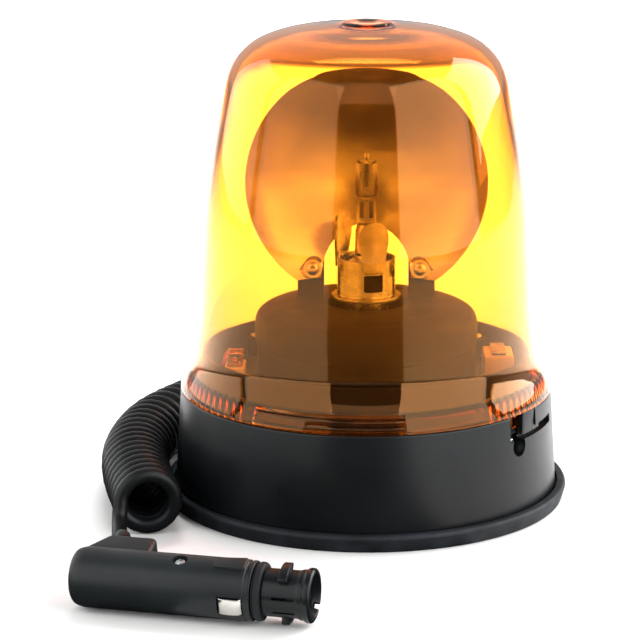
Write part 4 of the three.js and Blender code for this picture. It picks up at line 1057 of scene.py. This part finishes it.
def plug_body():
    """The barrel, its knee for the cord and a wedge, less its screw well and contact slots."""
    barrel = lengthways([
        (0, 0), (8.1, 0, 1.2), (10.5, 1.4, 1.2), (PLUG_RADIUS, 4.6, 1.6), (PLUG_RADIUS, 68.2, 0.2),
        (11.1, 68.6, 0.2), (11.1, 69.4, 0.2), (PLUG_RADIUS - 0.1, 69.8, 0.2),
        (PLUG_RADIUS - 0.2, PLUG_LENGTH, 0.4), (5.9, PLUG_LENGTH, 0.2), (5.9, 68.6),
        (0, 68.6)], 128)
    knee = softened(prism([(2.4, -4), (27.8, -4), (27.8, 19), (9.4, 19), (2.4, 10)], -7.5, 7.5),
                    2.0, 4)
    fused(barrel, knee)
    wedge = softened(prism([(57, -3), (69, -3.4), (69, 3.4), (57, 3)], 9.6, 12.4), 0.35)
    wedge.data.transform(Matrix.Rotation(math.radians(-2.5), 4, "Y"))
    fused(barrel, moved(wedge, -0.3, 0, -3.0))
    tools = [moved(rod(2.9, PLUG_RADIUS - 2.6, 14, 40), SCREW_PLACE)]
    for side in (-1, 1):
        low, high = sorted((side * 9.2, side * 13))
        reach, half = CONTACT_HALF + 0.4, CONTACT_WIDTH / 2 + 0.4
        tools.append(block((CONTACT_PLACE - reach, low, -half),
                           (CONTACT_PLACE + reach, high, half)))
    return laid(cut(barrel, *tools))


plug_pieces = [piece("plug_shells", plug_body(), plug_abs, "base", "plug_black",
                     "plug_shell_top", "plug_shell_bottom", sharp=30)]
plug_screw = moved(spun(screw(2.5, 1.5, 1.3, 8, cross=False), 70), SCREW_PLACE, 0,
                   PLUG_RADIUS - 2.3)
plug_pieces.append(piece("shell_screw", laid(plug_screw), zinc_steel, "base", "bright_steel",
                         "plug_screw"))


def contact(side):
    """A bowed leaf whose crown stands proud of the barrel."""
    crown = PLUG_RADIUS + 0.7
    half = [(CONTACT_HALF, crown - 3.2), (CONTACT_HALF, crown - 1.3), (3.6, crown - 0.35),
            (1.5, crown - 0.03)]
    line = [Vector(p) for p in [*((-x, y) for x, y in half), (0, crown), *reversed(half)]]
    under = inset(line, lambda place: -0.8)
    outline = [tuple(p) for p in line] + [
        (max(-3.7, min(3.7, p.x)), p.y) for p in reversed(under)]
    work = prism(outline, -CONTACT_WIDTH / 2, CONTACT_WIDTH / 2)
    softened(work, 0.2, 2, 40)
    return laid(spun(moved(work, CONTACT_PLACE), 0 if side > 0 else 180, "X"))


for side, name in ((1, "rear"), (-1, "front")):
    plug_pieces.append(piece(f"bowed_contact_{name}", contact(side), nickel_steel,
                             f"contact_{name}", "bright_steel", f"side_contact_{name}",
                             sharp=50))
nose_end = NOSE_START + 20
nose = lengthways([
    (0, NOSE_START), (7.2, NOSE_START, 0.2), (7.2, NOSE_START + 3.8, 0.2),
    (NOSE_RADIUS, NOSE_START + 3.8, 0.2), (NOSE_RADIUS, nose_end - 1, 0.6),
    (NOSE_RADIUS - 1, nose_end, 0.4), (2.2, nose_end, 0.2), (2.2, nose_end - 2.4),
    (3.6, nose_end - 2.4), (3.6, NOSE_START + 2), (0, NOSE_START + 2)], 64)
plug_pieces.append(piece("plug_nose_tube", laid(nose), plug_abs, "base", "plug_black",
                         "plug_nose"))
pin = lengthways([
    (0, nose_end - 4.4), (3.2, nose_end - 4.4, 0.2), (3.2, nose_end - 2.8, 0.2),
    (1.9, nose_end - 2.8, 0.1), (1.9, nose_end + 3.6, 0.7), (0.9, nose_end + 4.9, 0.5),
    (0, nose_end + 5)], 48)
plug_pieces.append(piece("sprung_centre_pin", laid(pin), nickel_steel, "pin", "bright_steel",
                         "centre_pin"))
SPRING_RADIUS = 2.6
SPRING_LENGTH = 9.8
SPRING_POINTS = 160
spring = [Vector((NOSE_START + 2.7 + SPRING_LENGTH * i / SPRING_POINTS,
                  SPRING_RADIUS * math.cos(0.3 * i), SPRING_RADIUS * math.sin(0.3 * i)))
          for i in range(SPRING_POINTS + 1)]
spring = [PLUG @ (place * MM) / MM for place in spring]
plug_pieces.append(piece("pin_coil_spring", wire(spring, 0.35, 3), spring_steel, "base",
                         "bright_steel", "pin_spring"))
end_ring = lengthways([
    (5.9, 71.3, 0.2), (10.3, 71.3, 0.2), (10.3, 72, 0.2), (11.1, 72.4, 0.5), (11.1, 73.6, 0.5),
    (10.7, 74.7, 0.5), (5.9, 74.7, 0.2)], 96)
plug_pieces.append(piece("plug_seal_ring", laid(end_ring), foot_epdm, "base", "foot_rubber",
                         "plug_end_ring"))


def collar():
    """A sleeve with a rim, two lugs with slots beside them, and two notches in its mouth."""
    start, end = COLLAR_START, COLLAR_START + 18.6
    body = lengthways([
        (7.2, start, 0.2), (9, start, 0.3), (9, end - 6, 0.3), (9.5, end - 4.6, 0.2),
        (9.5, end - 3.4, 0.2), (10.3, end - 2.4, 0.4), (10.3, end - 0.6, 0.5), (9.6, end, 0.4),
        (8.3, end, 0.3), (7.2, end - 3, 0.3)], 96)
    for side in (-1, 1):
        lug = softened(sector(8.2, 11.6, start + 6.4, start + 9.6, side * 90 - 32,
                              side * 90 + 32), 0.5, 3)
        fused(body, spun(lug, 90, "Y"))
        middle = 0 if side > 0 else 180
        tools = [sector(6, 12, start + 4, start + 12.4, middle + turn - 3.4, middle + turn + 3.4)
                 for turn in (-20, 20)]
        tools.append(sector(7.1, 11.4, end - 2.2, end + 1, side * 62 - 9, side * 62 + 9))
        cut(body, *(spun(tool, 90, "Y") for tool in tools))
    return laid(spun(body, 90, "X"))


plug_pieces.append(piece("adapter_sleeve", collar(), housing_abs, "collar", "plug_black",
                         "adapter_collar"))

# ---- solids that keep their own shape ----
KEPT = {
    "magnet_bolt": (zinc_steel, "bright_steel"),
    "spindle_nut": (zinc_steel, "bright_steel"),
    "ring_gear": (natural_nylon, "pale_nylon"),
    "motor_can": (nickel_steel, "bright_steel"),
    "motor_end_cap": (chassis_nylon, "black_chassis"),
    "motor_screw_1": (zinc_steel, "bright_steel"),
    "motor_screw_2": (zinc_steel, "bright_steel"),
    "motor_shaft": (zinc_steel, "bright_steel"),
    "drive_pinion": (stamped_brass, "brass"),
    "feed_wire_1": (red_sleeve, "red_sleeve"),
    "feed_wire_2": (cable_pur, "cable_jacket"),
}
for name, (material, slot_name) in KEPT.items():
    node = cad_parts[name]
    node.data.materials.clear()
    node.data.materials.append(material)
    node.data.shade_smooth()
    node.data.set_sharp_from_angle(angle=math.radians(32))
